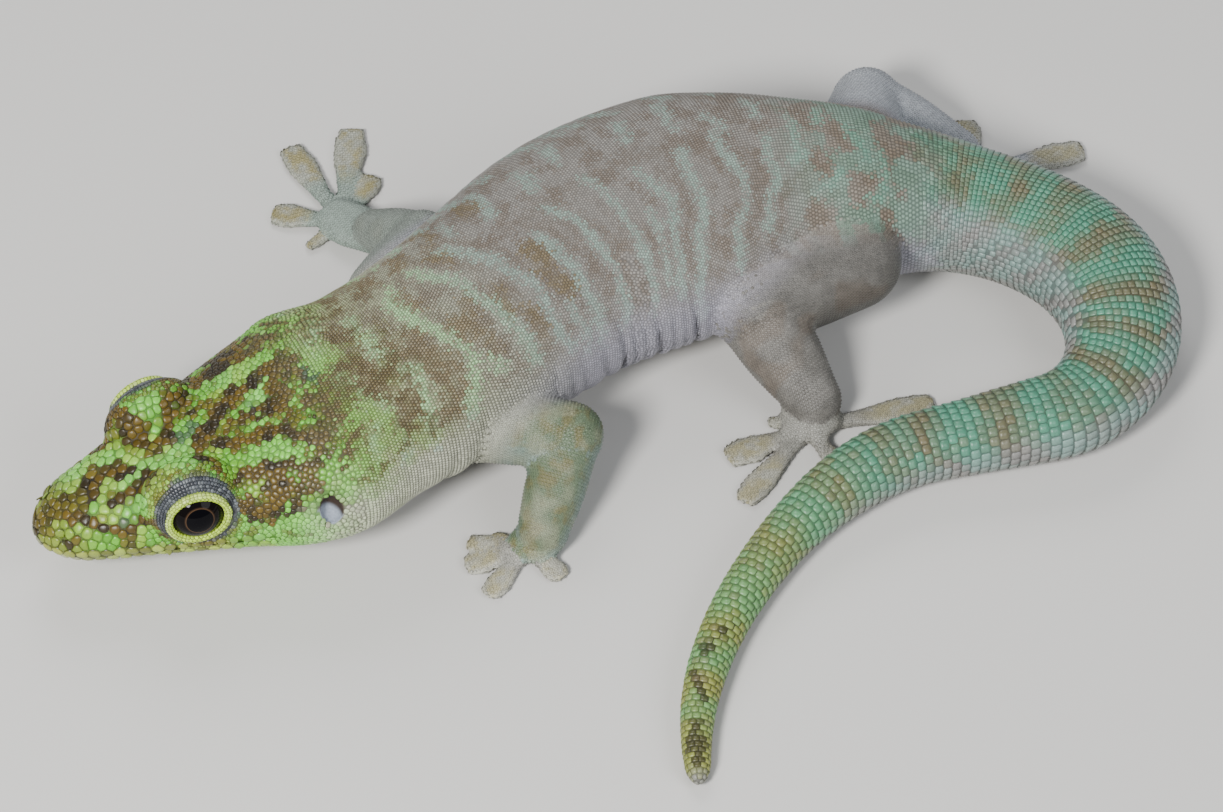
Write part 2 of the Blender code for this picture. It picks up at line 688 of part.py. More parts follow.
def main():
    for old in list(bpy.data.objects):
        bpy.data.objects.remove(old)
    group = collection(OBJECT)
    helpers = collection("helpers", hidden=True)
    build_head(group, helpers)
    build_body(group, helpers)
    for leg in LEGS:
        build_leg(leg, helpers)
    paints = {name: paint(name) for name in PAINTS}
    for solid in group.objects:
        solid.data.materials.clear()
        solid.data.materials.append(paints[paint_name(solid.name)])
        solid.data.shade_smooth()
    bpy.context.view_layer.update()


main()
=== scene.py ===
import bpy
import numpy as np
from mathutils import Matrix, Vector


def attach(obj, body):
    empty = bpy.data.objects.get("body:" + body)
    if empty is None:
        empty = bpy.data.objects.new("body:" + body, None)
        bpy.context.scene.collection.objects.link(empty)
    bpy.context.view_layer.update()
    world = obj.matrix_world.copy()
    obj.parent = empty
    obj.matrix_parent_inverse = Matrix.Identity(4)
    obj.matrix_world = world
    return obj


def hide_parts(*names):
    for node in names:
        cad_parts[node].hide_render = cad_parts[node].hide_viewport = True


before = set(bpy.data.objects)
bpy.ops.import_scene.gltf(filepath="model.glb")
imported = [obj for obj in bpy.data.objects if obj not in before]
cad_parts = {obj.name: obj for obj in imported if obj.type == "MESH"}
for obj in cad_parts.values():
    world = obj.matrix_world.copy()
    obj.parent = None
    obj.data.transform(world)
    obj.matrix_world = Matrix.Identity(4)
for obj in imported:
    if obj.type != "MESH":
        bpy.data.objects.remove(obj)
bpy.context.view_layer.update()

# A standing's day gecko at life size. All sizes here are in millimetres and become
# metres when a mesh is made. The body is a tube round a middle line from the snout
# to the tail's tip, with the legs grown on, and every scale is a small closed-over
# dome set on one skin.

mm = 0.001
draw = np.random.default_rng(21)

# Body form

bodyForm = {
    "snout": (-60.44, -18.5),  # tip of the snout, seen from above
    "snoutRound": 4.8,
    "tailRound": 2.6,
    "roundAbove": 2.15,  # 2 is an ellipse, more is boxier
    "roundBelow": 2.1,
    "trunkBoxier": 0.2,
    "trunkPlaces": [0, 30, 60, 95, 112, 217.2],
    "trunkShare": [0, 0.2, 1, 1, 0, 0],
    # distance from the snout, heading in degrees, height, full width, rise, drop
    "stations": (
        (0.0, 22.0, 6.2, 8.0, 2.7, 2.5),
        (4.0, 22.0, 6.5, 9.9, 3.6, 3.3),
        (9.0, 22.5, 6.9, 13.3, 4.8, 4.0),
        (13.0, 23.5, 7.2, 16.2, 6.0, 4.4),
        (16.0, 24.0, 7.4, 18.4, 6.6, 4.8),
        (21.0, 23.0, 7.7, 22.0, 7.5, 5.9),
        (26.0, 21.5, 8.2, 25.8, 8.4, 6.9),
        (31.0, 26.4, 9.0, 27.9, 9.1, 7.6),
        (38.0, 31.9, 9.8, 25.0, 9.5, 8.0),
        (50.0, 44.5, 10.5, 25.2, 9.7, 8.8),
        (60.0, 44.8, 10.7, 26.8, 9.8, 9.2),
        (70.0, 31.6, 10.7, 29.7, 9.8, 9.3),
        (80.0, 21.3, 10.7, 30.4, 9.6, 9.4),
        (86.0, 15.5, 10.5, 27.4, 9.4, 9.1),
        (92.0, 7.5, 10.2, 23.1, 9.2, 8.8),
        (99.0, 5.8, 9.4, 20.4, 8.8, 8.1),
        (106.0, 1.1, 8.0, 16.9, 7.4, 7.0),
        (113.0, -12.8, 6.6, 14.6, 6.4, 6.6),
        (119.5, -29.1, 5.95, 14.4, 5.95, 6.1),
        (128.5, -59.3, 5.65, 14.1, 5.65, 5.8),
        (137.0, -94.5, 5.05, 12.6, 5.05, 5.2),
        (146.0, -135.7, 4.35, 10.4, 4.25, 4.5),
        (153.0, -165.6, 4.1, 9.5, 4.0, 4.25),
        (162.0, -165.6, 3.65, 8.3, 3.6, 3.8),
        (172.0, -146.1, 3.4, 7.6, 3.35, 3.55),
        (184.0, -127.7, 2.7, 5.9, 2.65, 2.85),
        (196.0, -114.4, 2.25, 4.9, 2.2, 2.4),
        (206.0, -101.0, 1.9, 4.1, 1.85, 2.05),
        (213.0, -89.0, 1.45, 3.2, 1.4, 1.6),
        (217.2, -85.4, 1.2, 2.6, 1.15, 1.35),
    ),
}
stations = np.array(bodyForm["stations"])
bodyLong = stations[-1, 0]

# Each joint as x, y, z and the leg's radius there; each toe as its direction in
# degrees, its length from the middle of the palm and the full width of its pad.
legForm = {
    "frontLeft": {
        "hip": (-14.0, -5.9, 9.0, 4.4), "knee": (-4.9, -7.1, 8.3, 3.6),
        "ankle": (-7.7, -15.2, 2.9, 2.9), "palm": (-9.5, -16.3, 1.3, 2.8),
        "toes": ((150, 4.4, 1.9), (172, 6.6, 3.2), (198, 7.0, 3.6), (237, 7.5, 3.2), (318, 5.6, 3.2)),
    },
    "frontRight": {
        "hip": (-25.2, 12.2, 8.6, 4.0), "knee": (-21.1, 21.5, 7.0, 3.4),
        "ankle": (-26.8, 26.7, 2.9, 2.4), "palm": (-30.4, 29.7, 1.3, 3.2),
        "toes": ((222, 5.4, 1.9), (168, 8.4, 4.0), (119, 13.6, 3.9), (88, 14.8, 4.2), (67, 8.2, 3.6)),
    },
    "hindLeft": {
        "hip": (25.2, 16.4, 9.6, 5.6), "knee": (14.2, 10.1, 9.6, 5.0),
        "ankle": (21.0, 2.1, 3.2, 3.1), "palm": (20.4, 0.1, 1.35, 3.5),
        "toes": ((164, 4.8, 2.0), (204, 9.8, 4.1), (234, 12.4, 3.6), (302, 8.4, 3.4), (15, 14.4, 4.0)),
    },
    "hindRight": {
        "hip": (25.8, 30.7, 8.2, 5.6), "knee": (27.9, 42.8, 6.2, 4.1),
        "ankle": (38.0, 38.5, 2.9, 2.7), "palm": (40.4, 37.5, 1.3, 3.2),
        "toes": ((128, 4.8, 2.0), (100, 8.4, 4.2), (16, 12.8, 4.2), (330, 9.4, 3.6), (300, 5.2, 3.2)),
    },
}
legNames = list(legForm)

toeForm = {
    "root": 2.5, "waist": 2.1, "tall": 1.6, "padTall": 1.25, "end": 0.9,
    "rootUp": 0.75, "padUp": 0.42, "muscle": 1.03,
}

headForm = {
    # distance from the snout, to the side, above the widest level
    "eyeAt": 15.4, "eyeSide": 6.7, "eyeUp": 3.7,
    "eyeRadius": 3.3,
    "facesForward": 8.0, "facesUp": 5.0,
    "ringRows": (3.52, 3.8, 4.08, 4.36, 4.62),  # reach of the slate rows from the eye's axis
    "lidReach": 2.0, "lidRadius": 3.02, "lidThick": 0.35,
    "mound": (3.7, 5.6, 5.1), "moundInset": 1.0,
    "earAt": 28.2, "earTurn": 16.0, "ear": (1.5, 1.15, 1.7),
    "nostrilAt": 2.3, "nostrilTurn": 32.0, "nostril": 0.45,
    "mouthCorner": 23.0, "mouthDropFront": 1.0, "mouthDropBack": 0.5,
    "mouthOpen": 0.26, "mouthDeep": 0.7, "mouthPast": 1.4,
    "lipRadius": 0.6, "lipOut": 0.1, "lipOffset": 0.72,
}

skinForm = {
    "coatDepth": 0.16,  # how far the skin lies inside the solids
    "voxel": 0.44,
    "smoothing": 10,  # rounds over all the skin
    "creaseSmoothing": 22, "creaseReach": 5,  # rounds where a leg or toe begins, and how far round it
    "foldDepth": 0.7,
    "foldSpacing": 2.25,
}


def smoothCurve(where, places, values):
    # Cubic through values at places, with slopes that never overshoot.
    places = np.asarray(places, float)
    values = np.asarray(values, float)
    where = np.clip(where, places[0], places[-1])
    steps = np.diff(places)
    slopes = np.diff(values) / steps
    tangents = np.zeros(len(places))
    tangents[1:-1] = np.where(
        slopes[1:] * slopes[:-1] > 0,
        (slopes[1:] * steps[:-1] + slopes[:-1] * steps[1:]) / (steps[1:] + steps[:-1]),
        0.0,
    )
    tangents[0], tangents[-1] = slopes[0], slopes[-1]
    i = np.clip(np.searchsorted(places, where, side="right") - 1, 0, len(steps) - 1)
    h = steps[i]
    t = (where - places[i]) / h
    return (
        values[i] * (1 + 2 * t) * (1 - t) ** 2
        + tangents[i] * h * t * (1 - t) ** 2
        + values[i + 1] * t * t * (3 - 2 * t)
        + tangents[i + 1] * h * t * t * (t - 1)
    )


def fadeIn(value, start, end):
    # 0 below start, 1 above end, eased between.
    t = np.clip((value - start) / (end - start), 0, 1)
    return t * t * (3 - 2 * t)


def stationValue(where, column):
    # One column of the stations' table, carried smoothly between its rows.
    return smoothCurve(where, stations[:, 0], stations[:, column])


def walkMiddleLine():
    # Walks along the headings in short paces: place = start + sum of paces.
    reach = np.linspace(0.0, bodyLong, int(bodyLong * 8) + 1)
    middle = (reach[1:] + reach[:-1]) / 2
    heading = np.radians(stationValue(middle, 1))
    paces = np.diff(reach)[:, None] * np.stack([np.cos(heading), np.sin(heading)], 1)
    start = np.array(bodyForm["snout"])
    return reach, np.concatenate([[start], start + np.cumsum(paces, axis=0)])


walkReach, walkPlaces = walkMiddleLine()


def middleLine(where):
    # Points on the middle line, the way it runs, and the animal's right there.
    x = np.interp(where, walkReach, walkPlaces[:, 0])
    y = np.interp(where, walkReach, walkPlaces[:, 1])
    heading = np.radians(stationValue(where, 1))
    zero = np.zeros_like(x)
    points = np.stack([x, y, stationValue(where, 2)], -1)
    along = np.stack([np.cos(heading), np.sin(heading), zero], -1)
    right = np.stack([-np.sin(heading), np.cos(heading), zero], -1)
    return points, along, right


def tipScale(where):
    # Rounds off both ends of the body: sqrt(1 - x^2) over the last millimetres.
    front = np.clip(1 - where / bodyForm["snoutRound"], 0, 1)
    back = np.clip(1 - (bodyLong - where) / bodyForm["tailRound"], 0, 1)
    return np.sqrt(1 - front**2) * np.sqrt(1 - back**2)


def sectionSizes(where):
    # Half width, rise, drop and the roundness below, at a distance from the snout.
    scale = tipScale(where)
    trunk = smoothCurve(where, bodyForm["trunkPlaces"], bodyForm["trunkShare"])
    below = bodyForm["roundBelow"] + bodyForm["trunkBoxier"] * trunk
    return (
        stationValue(where, 3) / 2 * scale,
        stationValue(where, 4) * scale,
        stationValue(where, 5) * scale,
        below,
    )


def bodySurface(where, turn, grow=0.0):
    # Rounded box section: side = w cos(a)^(2/r), height = h sin(a)^(2/r); turn 0 is
    # the animal's right, a quarter turn is the back.
    where, turn = np.broadcast_arrays(np.asarray(where, float), np.asarray(turn, float))
    points, _, right = middleLine(where)
    wide, rise, drop, below = sectionSizes(where)
    c, s = np.cos(turn), np.sin(turn)
    power = 2 / np.where(s > 0, bodyForm["roundAbove"], below)
    tall = np.where(s > 0, rise, drop)
    side = np.maximum(wide + grow, 0.01) * np.sign(c) * np.abs(c) ** power
    up = np.maximum(tall + grow, 0.01) * np.sign(s) * np.abs(s) ** power
    points = points + right * side[..., None]
    points[..., 2] += up
    return points


def limbSurface(limb, where, turn, grow=0.0):
    # An ellipse carried along a smooth path, with a quarter-round dome past each end.
    where, turn = np.broadcast_arrays(np.asarray(where, float), np.asarray(turn, float))
    path, wide, tall = limb["path"], limb["wide"], limb["tall"]
    reach = np.concatenate([[0], np.cumsum(np.linalg.norm(np.diff(path, axis=0), axis=1))])
    marks = np.linspace(0, reach[-1], len(wide))
    inner = np.clip(where, 0, reach[-1])
    cap = np.where(where < 0, min(wide[0], tall[0]), min(wide[-1], tall[-1])) + grow
    past = np.clip(np.abs(where - inner) / cap, 0, 1)
    shrink = np.sqrt(np.maximum(1 - past**2, 0))
    place = np.stack([smoothCurve(inner, reach, path[:, i]) for i in range(3)], -1)
    near = 0.2
    ahead = np.stack([smoothCurve(inner + near, reach, path[:, i]) for i in range(3)], -1)
    behind = np.stack([smoothCurve(inner - near, reach, path[:, i]) for i in range(3)], -1)
    along = ahead - behind
    along /= np.linalg.norm(along, axis=-1)[..., None]
    beyond = np.sign(where - inner) * past * cap
    place = place + along * beyond[..., None]
    across = np.cross(along, [0.0, 0.0, 1.0])
    across /= np.linalg.norm(across, axis=-1)[..., None]
    over = np.cross(across, along)
    w = (smoothCurve(inner, marks, wide) + grow) * shrink
    h = (smoothCurve(inner, marks, tall) + grow) * shrink
    return (
        place
        + across * (w * np.cos(turn))[..., None]
        + over * (h * np.sin(turn))[..., None]
    )


def legLimbs(leg):
    # The upper leg, lower leg, palm and five toes of one leg, from its joints.
    form = legForm[leg]
    hip, knee, ankle, palm = (np.array(form[j], float) for j in ("hip", "knee", "ankle", "palm"))
    swell = toeForm["muscle"]
    middle = (hip + knee) / 2
    upper = [hip[3], middle[3] * swell, knee[3]]
    path = np.array([hip[:3], middle[:3], knee[:3]])
    limbs = [{"kind": "upper", "path": path, "wide": upper, "tall": upper}]
    middle = knee * 0.55 + ankle * 0.45
    lower = [knee[3] * 0.92, middle[3] * swell, ankle[3]]
    path = np.array([knee[:3], middle[:3], ankle[:3]])
    limbs.append({"kind": "lower", "path": path, "wide": lower, "tall": lower})
    front = palm[:3] + (palm[:3] - ankle[:3]) * 0.35
    front[2] = palm[2]
    limbs.append({
        "kind": "palm",
        "path": np.array([ankle[:3] * [1, 1, 0.62], palm[:3], front]),
        "wide": [ankle[3] * 0.95, palm[3], palm[3] * 0.8],
        "tall": [ankle[3] * 0.8, palm[2] + 0.15, palm[2] * 0.9],
    })
    for direction, length, padWide in form["toes"]:
        swing = np.radians(direction)
        out = np.array([np.cos(swing), np.sin(swing), 0.0])
        root = palm[:3] + out * 0.6
        root[2] = toeForm["rootUp"]
        end = palm[:3] + out * (length - toeForm["end"] / 2)
        end[2] = toeForm["padUp"]
        pad = padWide / 2
        waist = min(toeForm["waist"] / 2, pad * 0.85)
        limbs.append({
            "kind": "toe",
            "path": np.array([root, (root + end) / 2, end]),
            "wide": [toeForm["root"] / 2, waist, waist * 0.45 + pad * 0.55, pad, pad * 0.8],
            "tall": [toeForm["tall"] / 2] * 2 + [toeForm["padTall"] / 2] * 2 + [toeForm["end"] / 2],
        })
    for number, limb in enumerate(limbs):
        limb["leg"] = legNames.index(leg)
        limb["number"] = number
        limb["long"] = np.linalg.norm(np.diff(limb["path"], axis=0), axis=1).sum()
        limb["caps"] = min(limb["wide"][0], limb["tall"][0]), min(limb["wide"][-1], limb["tall"][-1])
    return limbs


allLimbs = [limb for leg in legNames for limb in legLimbs(leg)]


def onHead(where, side, up):
    # A place beside and above the middle line.
    points, _, right = middleLine(np.asarray(float(where)))
    place = points + right * side
    place[2] += up
    return place


def eyeAxes(hand):
    # Outward, forward and upward axes of one eye; hand is 1 for the animal's right.
    _, along, right = middleLine(np.asarray(headForm["eyeAt"]))
    tilt, swing = np.radians([headForm["facesUp"], headForm["facesForward"]])
    level = right * hand * np.cos(swing) - along * np.sin(swing)
    outward = level * np.cos(tilt) + np.array([0.0, 0.0, 1.0]) * np.sin(tilt)
    forward = np.cross(np.array([0.0, 0.0, 1.0]), outward)
    forward /= np.linalg.norm(forward)
    return np.array([outward, forward, np.cross(outward, forward)])


eyes = [
    {"hand": hand, "axes": eyeAxes(hand),
     "centre": onHead(headForm["eyeAt"], headForm["eyeSide"] * hand, headForm["eyeUp"])}
    for hand in (1, -1)
]


# Mesh helpers

def makeObject(name, points, faces):
    # A mesh object from whole arrays: faces is an array of vertex numbers.
    count, sides = faces.shape
    mesh = bpy.data.meshes.new(name)
    mesh.vertices.add(len(points))
    mesh.vertices.foreach_set("co", (np.asarray(points) * mm).astype(np.float32).ravel())
    mesh.loops.add(count * sides)
    mesh.loops.foreach_set("vertex_index", faces.astype(np.int32).ravel())
    mesh.polygons.add(count)
    mesh.polygons.foreach_set("loop_start", np.arange(0, count * sides, sides, dtype=np.int32))
    mesh.polygons.foreach_set("use_smooth", np.ones(count, bool))
    mesh.update(calc_edges=True)
    mesh.validate()
    made = bpy.data.objects.new(name, mesh)
    bpy.context.scene.collection.objects.link(made)
    return made


def tubeFaces(rows, sides):
    # Triangles of a tube of rings, closed by a fan round one middle point at each end.
    i, j = np.meshgrid(np.arange(rows - 1), np.arange(sides), indexing="ij")
    k = (j + 1) % sides
    a, b, c, d = i * sides + j, i * sides + k, (i + 1) * sides + k, (i + 1) * sides + j
    sheet = np.concatenate([np.stack([a, b, c], -1).reshape(-1, 3), np.stack([a, c, d], -1).reshape(-1, 3)])
    j = np.arange(sides)
    k = (j + 1) % sides
    first = np.stack([np.full(sides, rows * sides), k, j], 1)
    last = (rows - 1) * sides
    second = np.stack([np.full(sides, rows * sides + 1), last + j, last + k], 1)
    return np.concatenate([sheet, first, second])


def closedTube(rings):
    # Points and outward triangles of a closed tube through rings of points.
    rows, sides = rings.shape[:2]
    points = np.concatenate([rings.reshape(-1, 3), [rings[0].mean(0)], [rings[-1].mean(0)]])
    faces = tubeFaces(rows, sides)
    if np.linalg.det(points[faces]).sum() < 0:
        faces = faces[:, ::-1]
    return points, faces


def ballShape(centre, axes, radii, rows=24, sides=48):
    # An ellipsoid with its poles along the first axis.
    polar = np.linspace(0.06, np.pi - 0.06, rows)[:, None]
    turn = np.linspace(0, 2 * np.pi, sides, endpoint=False)[None, :]
    local = np.stack([
        radii[0] * np.cos(polar) + 0 * turn,
        radii[1] * np.sin(polar) * np.cos(turn),
        radii[2] * np.sin(polar) * np.sin(turn),
    ], -1)
    return closedTube(centre + local @ np.asarray(axes))


def hoopShape(centre, axes, radii, thick, sides=72, roundSides=14):
    # A ring lying round the first axis: radius + thick cos(b) out, thick sin(b) along.
    turn = np.linspace(0, 2 * np.pi, sides, endpoint=False)[:, None]
    bead = np.linspace(0, 2 * np.pi, roundSides, endpoint=False)[None, :]
    reach = thick * np.cos(bead)
    local = np.stack([
        thick * np.sin(bead) + 0 * turn,
        (radii[0] + reach) * np.cos(turn),
        (radii[1] + reach) * np.sin(turn),
    ], -1)
    points = (centre + local @ np.asarray(axes)).reshape(-1, 3)
    i, j = np.meshgrid(np.arange(sides), np.arange(roundSides), indexing="ij")
    i2, j2 = (i + 1) % sides, (j + 1) % roundSides
    a, b = i * roundSides + j, i * roundSides + j2
    c, d = i2 * roundSides + j2, i2 * roundSides + j
    faces = np.concatenate([np.stack([a, b, c], -1).reshape(-1, 3), np.stack([a, c, d], -1).reshape(-1, 3)])
    if np.linalg.det(points[faces]).sum() < 0:
        faces = faces[:, ::-1]
    return points, faces


def joinShapes(shapes):
    # Several shapes as one list of points and faces.
    points, faces, start = [], [], 0
    for shapePoints, shapeFaces in shapes:
        points.append(shapePoints)
        faces.append(shapeFaces + start)
        start += len(shapePoints)
    return np.concatenate(points), np.concatenate(faces)


def applied(obj):
    # Bakes an object's modifiers into its mesh.
    bpy.context.view_layer.update()
    graph = bpy.context.evaluated_depsgraph_get()
    result = bpy.data.meshes.new_from_object(obj.evaluated_get(graph))
    obj.modifiers.clear()
    old = obj.data
    obj.data = result
    bpy.data.meshes.remove(old)


def combine(obj, shapes, operation):
    # Adds closed shapes to an object, or cuts them out of it.
    for number, (points, faces) in enumerate(shapes):
        tool = makeObject(f"tool{number}", points, faces)
        modifier = obj.modifiers.new("combine", "BOOLEAN")
        modifier.operation = operation
        modifier.solver = "MANIFOLD"
        modifier.object = tool
        applied(obj)
        bpy.data.objects.remove(tool)


def meshArrays(obj):
    # The points, in millimetres, and triangles of an object's mesh.
    mesh = obj.data
    mesh.calc_loop_triangles()
    points = np.empty(len(mesh.vertices) * 3, np.float32)
    mesh.vertices.foreach_get("co", points)
    corners = np.empty(len(mesh.loop_triangles) * 3, np.int32)
    mesh.loop_triangles.foreach_get("vertices", corners)
    return points.reshape(-1, 3).astype(float) / mm, corners.reshape(-1, 3)


def pointNormals(points, triangles):
    # Area-weighted mean of the triangles round each point.
    a, b, c = points[triangles[:, 0]], points[triangles[:, 1]], points[triangles[:, 2]]
    cross = np.cross(b - a, c - a)
    normals = np.stack([
        sum(np.bincount(triangles[:, k], cross[:, i], len(points)) for k in range(3)) for i in range(3)
    ], 1)
    return normals / np.maximum(np.linalg.norm(normals, axis=1), 1e-9)[:, None]


def edgePairs(triangles):
    # Every edge once, as a pair of point numbers.
    ends = np.concatenate([triangles[:, [0, 1]], triangles[:, [1, 2]], triangles[:, [2, 0]]])
    return np.unique(np.sort(ends, axis=1), axis=0)


def relaxSurface(points, edges, weight, rounds, amount=0.5):
    # Each round moves a point towards the mean of its neighbours, then a little back
    # out, so that creases soften and the whole keeps its size.
    count = len(points)
    both = np.concatenate([edges, edges[:, ::-1]])
    number = np.bincount(both[:, 0], minlength=count)[:, None]
    for _ in range(rounds):
        for push in (amount, -amount * 1.04):
            mean = np.stack([np.bincount(both[:, 0], points[both[:, 1], i], count) for i in range(3)], 1)
            points = points + push * weight[:, None] * (mean / np.maximum(number, 1) - points)
    return points


def nearbyPairs(first, second, reach):
    # All pairs of a first and a second point closer than reach. Space is cut in cubes
    # of that size, and each point looks in the 27 cubes round it.
    low = np.minimum(first.min(0), second.min(0)) - 2 * reach
    size = ((np.maximum(first.max(0), second.max(0)) - low) / reach).astype(np.int64) + 5
    steps = np.array([size[1] * size[2], size[2], 1])
    firstCell = np.floor((first - low) / reach).astype(np.int64) @ steps
    secondCell = np.floor((second - low) / reach).astype(np.int64) @ steps
    order = np.argsort(secondCell, kind="stable")
    cells = secondCell[order]
    found = []
    for x in (-1, 0, 1):
        for y in (-1, 0, 1):
            # Three cubes in a row have numbers that follow each other.
            target = firstCell + x * steps[0] + y * steps[1]
            low1 = np.searchsorted(cells, target - 1, "left")
            high1 = np.searchsorted(cells, target + 1, "right")
            number = high1 - low1
            total = int(number.sum())
            if not total:
                continue
            i = np.repeat(np.arange(len(first)), number)
            start = np.repeat(low1 - np.concatenate([[0], np.cumsum(number)[:-1]]), number)
            j = order[np.arange(total) + start]
            near = ((first[i] - second[j]) ** 2).sum(1) < reach * reach
            found.append(np.stack([i[near], j[near]], 1))
    if not found:
        return np.zeros(0, int), np.zeros(0, int)
    found = np.concatenate(found)
    return found[:, 0], found[:, 1]


def nearestOf(first, second, reach):
    # For each first point the nearest second point within reach, or -1.
    i, j = nearbyPairs(first, second, reach)
    gap = ((first[i] - second[j]) ** 2).sum(1)
    order = np.lexsort((gap, i))
    i, j = i[order], j[order]
    firstHit = np.concatenate([[True], i[1:] != i[:-1]]) if len(i) else np.zeros(0, bool)
    best = np.full(len(first), -1)
    best[i[firstHit]] = j[firstHit]
    return best


# Places on the skin
# A place on the animal is held as arrays: part 0 is the body and part 1 + n is limb
# n; s is the distance along the part and turn the angle round it.

def partSurface(part, s, turn, grow=0.0):
    # A point of the surface of the body or of a limb.
    if part == 0:
        return bodySurface(s, turn, grow)
    return limbSurface(allLimbs[part - 1], s, turn, grow)


def partEnds(part):
    # Where a part begins and ends along its own length.
    if part == 0:
        return 0.02, bodyLong - 0.02
    limb = allLimbs[part - 1]
    return -limb["caps"][0] * 0.995, limb["long"] + limb["caps"][1] * 0.995


def chartSamples():
    # A coarse net of places over every part, used to look up where a point is.
    places, parts, alongs, turns = [], [], [], []
    for part in range(1 + len(allLimbs)):
        start, end = partEnds(part)
        step = 0.8 if part == 0 else 0.5
        sides = 72 if part == 0 else 28
        s, turn = np.meshgrid(np.linspace(start, end, int((end - start) / step) + 2),
                              np.linspace(0, 2 * np.pi, sides, endpoint=False), indexing="ij")
        s, turn = s.ravel(), turn.ravel()
        places.append(partSurface(part, s, turn, -skinForm["coatDepth"]))
        parts.append(np.full(len(s), part))
        alongs.append(s)
        turns.append(turn)
    return np.concatenate(places), np.concatenate(parts), np.concatenate(alongs), np.concatenate(turns)


samplePlaces, sampleParts, sampleAlongs, sampleTurns = chartSamples()


def findPlaces(points):
    # The part, distance and turn of the nearest sample, made exact on the body.
    best = np.full(len(points), -1)
    for reach in (0.75, 1.6, 8.0):
        lost = np.flatnonzero(best < 0)
        if len(lost):
            best[lost] = nearestOf(points[lost], samplePlaces, reach)
    part, s, turn = sampleParts[best], sampleAlongs[best].copy(), sampleTurns[best].copy()
    body = part == 0
    s[body], turn[body] = bodyPlace(points[body], s[body])
    return part, s, turn


def bodyPlace(points, s):
    # Slides along the middle line until the point is square to it, then reads the
    # turn from the section's own rounding.
    for _ in range(4):
        middle, along, _ = middleLine(s)
        s = np.clip(s + ((points - middle) * along).sum(-1) * 0.7, 0.02, bodyLong - 0.02)
    middle, _, right = middleLine(s)
    side = ((points - middle) * right).sum(-1)
    up = points[..., 2] - middle[..., 2]
    wide, rise, drop, below = sectionSizes(s)
    power = np.where(up > 0, bodyForm["roundAbove"], below) / 2
    c = np.sign(side) * (np.abs(side) / np.maximum(wide, 0.05)) ** power
    h = np.sign(up) * (np.abs(up) / np.maximum(np.where(up > 0, rise, drop), 0.05)) ** power
    return s, np.arctan2(h, c) % (2 * np.pi)


# The skin

def mouthLine(offset, inset, corner):
    # A line round the muzzle just under its widest level: the section is followed at
    # a fixed drop, from corner to corner, set in by inset.
    first = bodyForm["snoutRound"] * 0.04
    where = first + (corner - first) * np.linspace(0, 1, 400) ** 2
    front, back = headForm["mouthDropFront"], headForm["mouthDropBack"]
    drop = smoothCurve(where, [0, corner * 0.5, corner], [front, front, back]) - offset
    scale = tipScale(where)
    tall = np.where(drop > 0, stationValue(where, 5), stationValue(where, 4)) * scale
    real = np.abs(drop) < tall * 0.995
    where, drop, tall = where[real], drop[real], tall[real]
    wide = stationValue(where, 3) / 2 * tipScale(where)
    side = wide * np.sqrt(np.clip(1 - (drop / tall) ** 2, 0, 1))
    points, ahead, right = middleLine(where)
    rightLine = points + right * side[:, None]
    leftLine = points - right * side[:, None]
    rightLine[:, 2] -= drop
    leftLine[:, 2] -= drop
    line = np.concatenate([rightLine[::-1], leftLine])
    reach = np.concatenate([[0], np.cumsum(np.linalg.norm(np.diff(line, axis=0), axis=1))])
    even = np.linspace(0, reach[-1], 120)
    line = np.stack([np.interp(even, reach, line[:, i]) for i in range(3)], 1)
    along = np.gradient(line, axis=0)
    out = np.stack([-along[:, 1], along[:, 0], np.zeros(len(even))], 1)
    out /= np.linalg.norm(out, axis=1)[:, None]
    if np.dot(out[len(even) // 2], ahead[0]) > 0:
        out = -out
    return line - out * inset, out


def mouthGroove():
    # The cut between the lips: a thin wedge carried round the muzzle.
    deep, out = mouthLine(0.0, headForm["mouthDeep"], headForm["mouthCorner"])
    outer = deep + out * (headForm["mouthDeep"] + headForm["mouthPast"])
    half = np.array([0.0, 0.0, headForm["mouthOpen"] / 2])
    rings = np.stack([deep - half * 0.4, outer - half, outer + half, deep + half * 0.4], 1)
    return closedTube(rings)


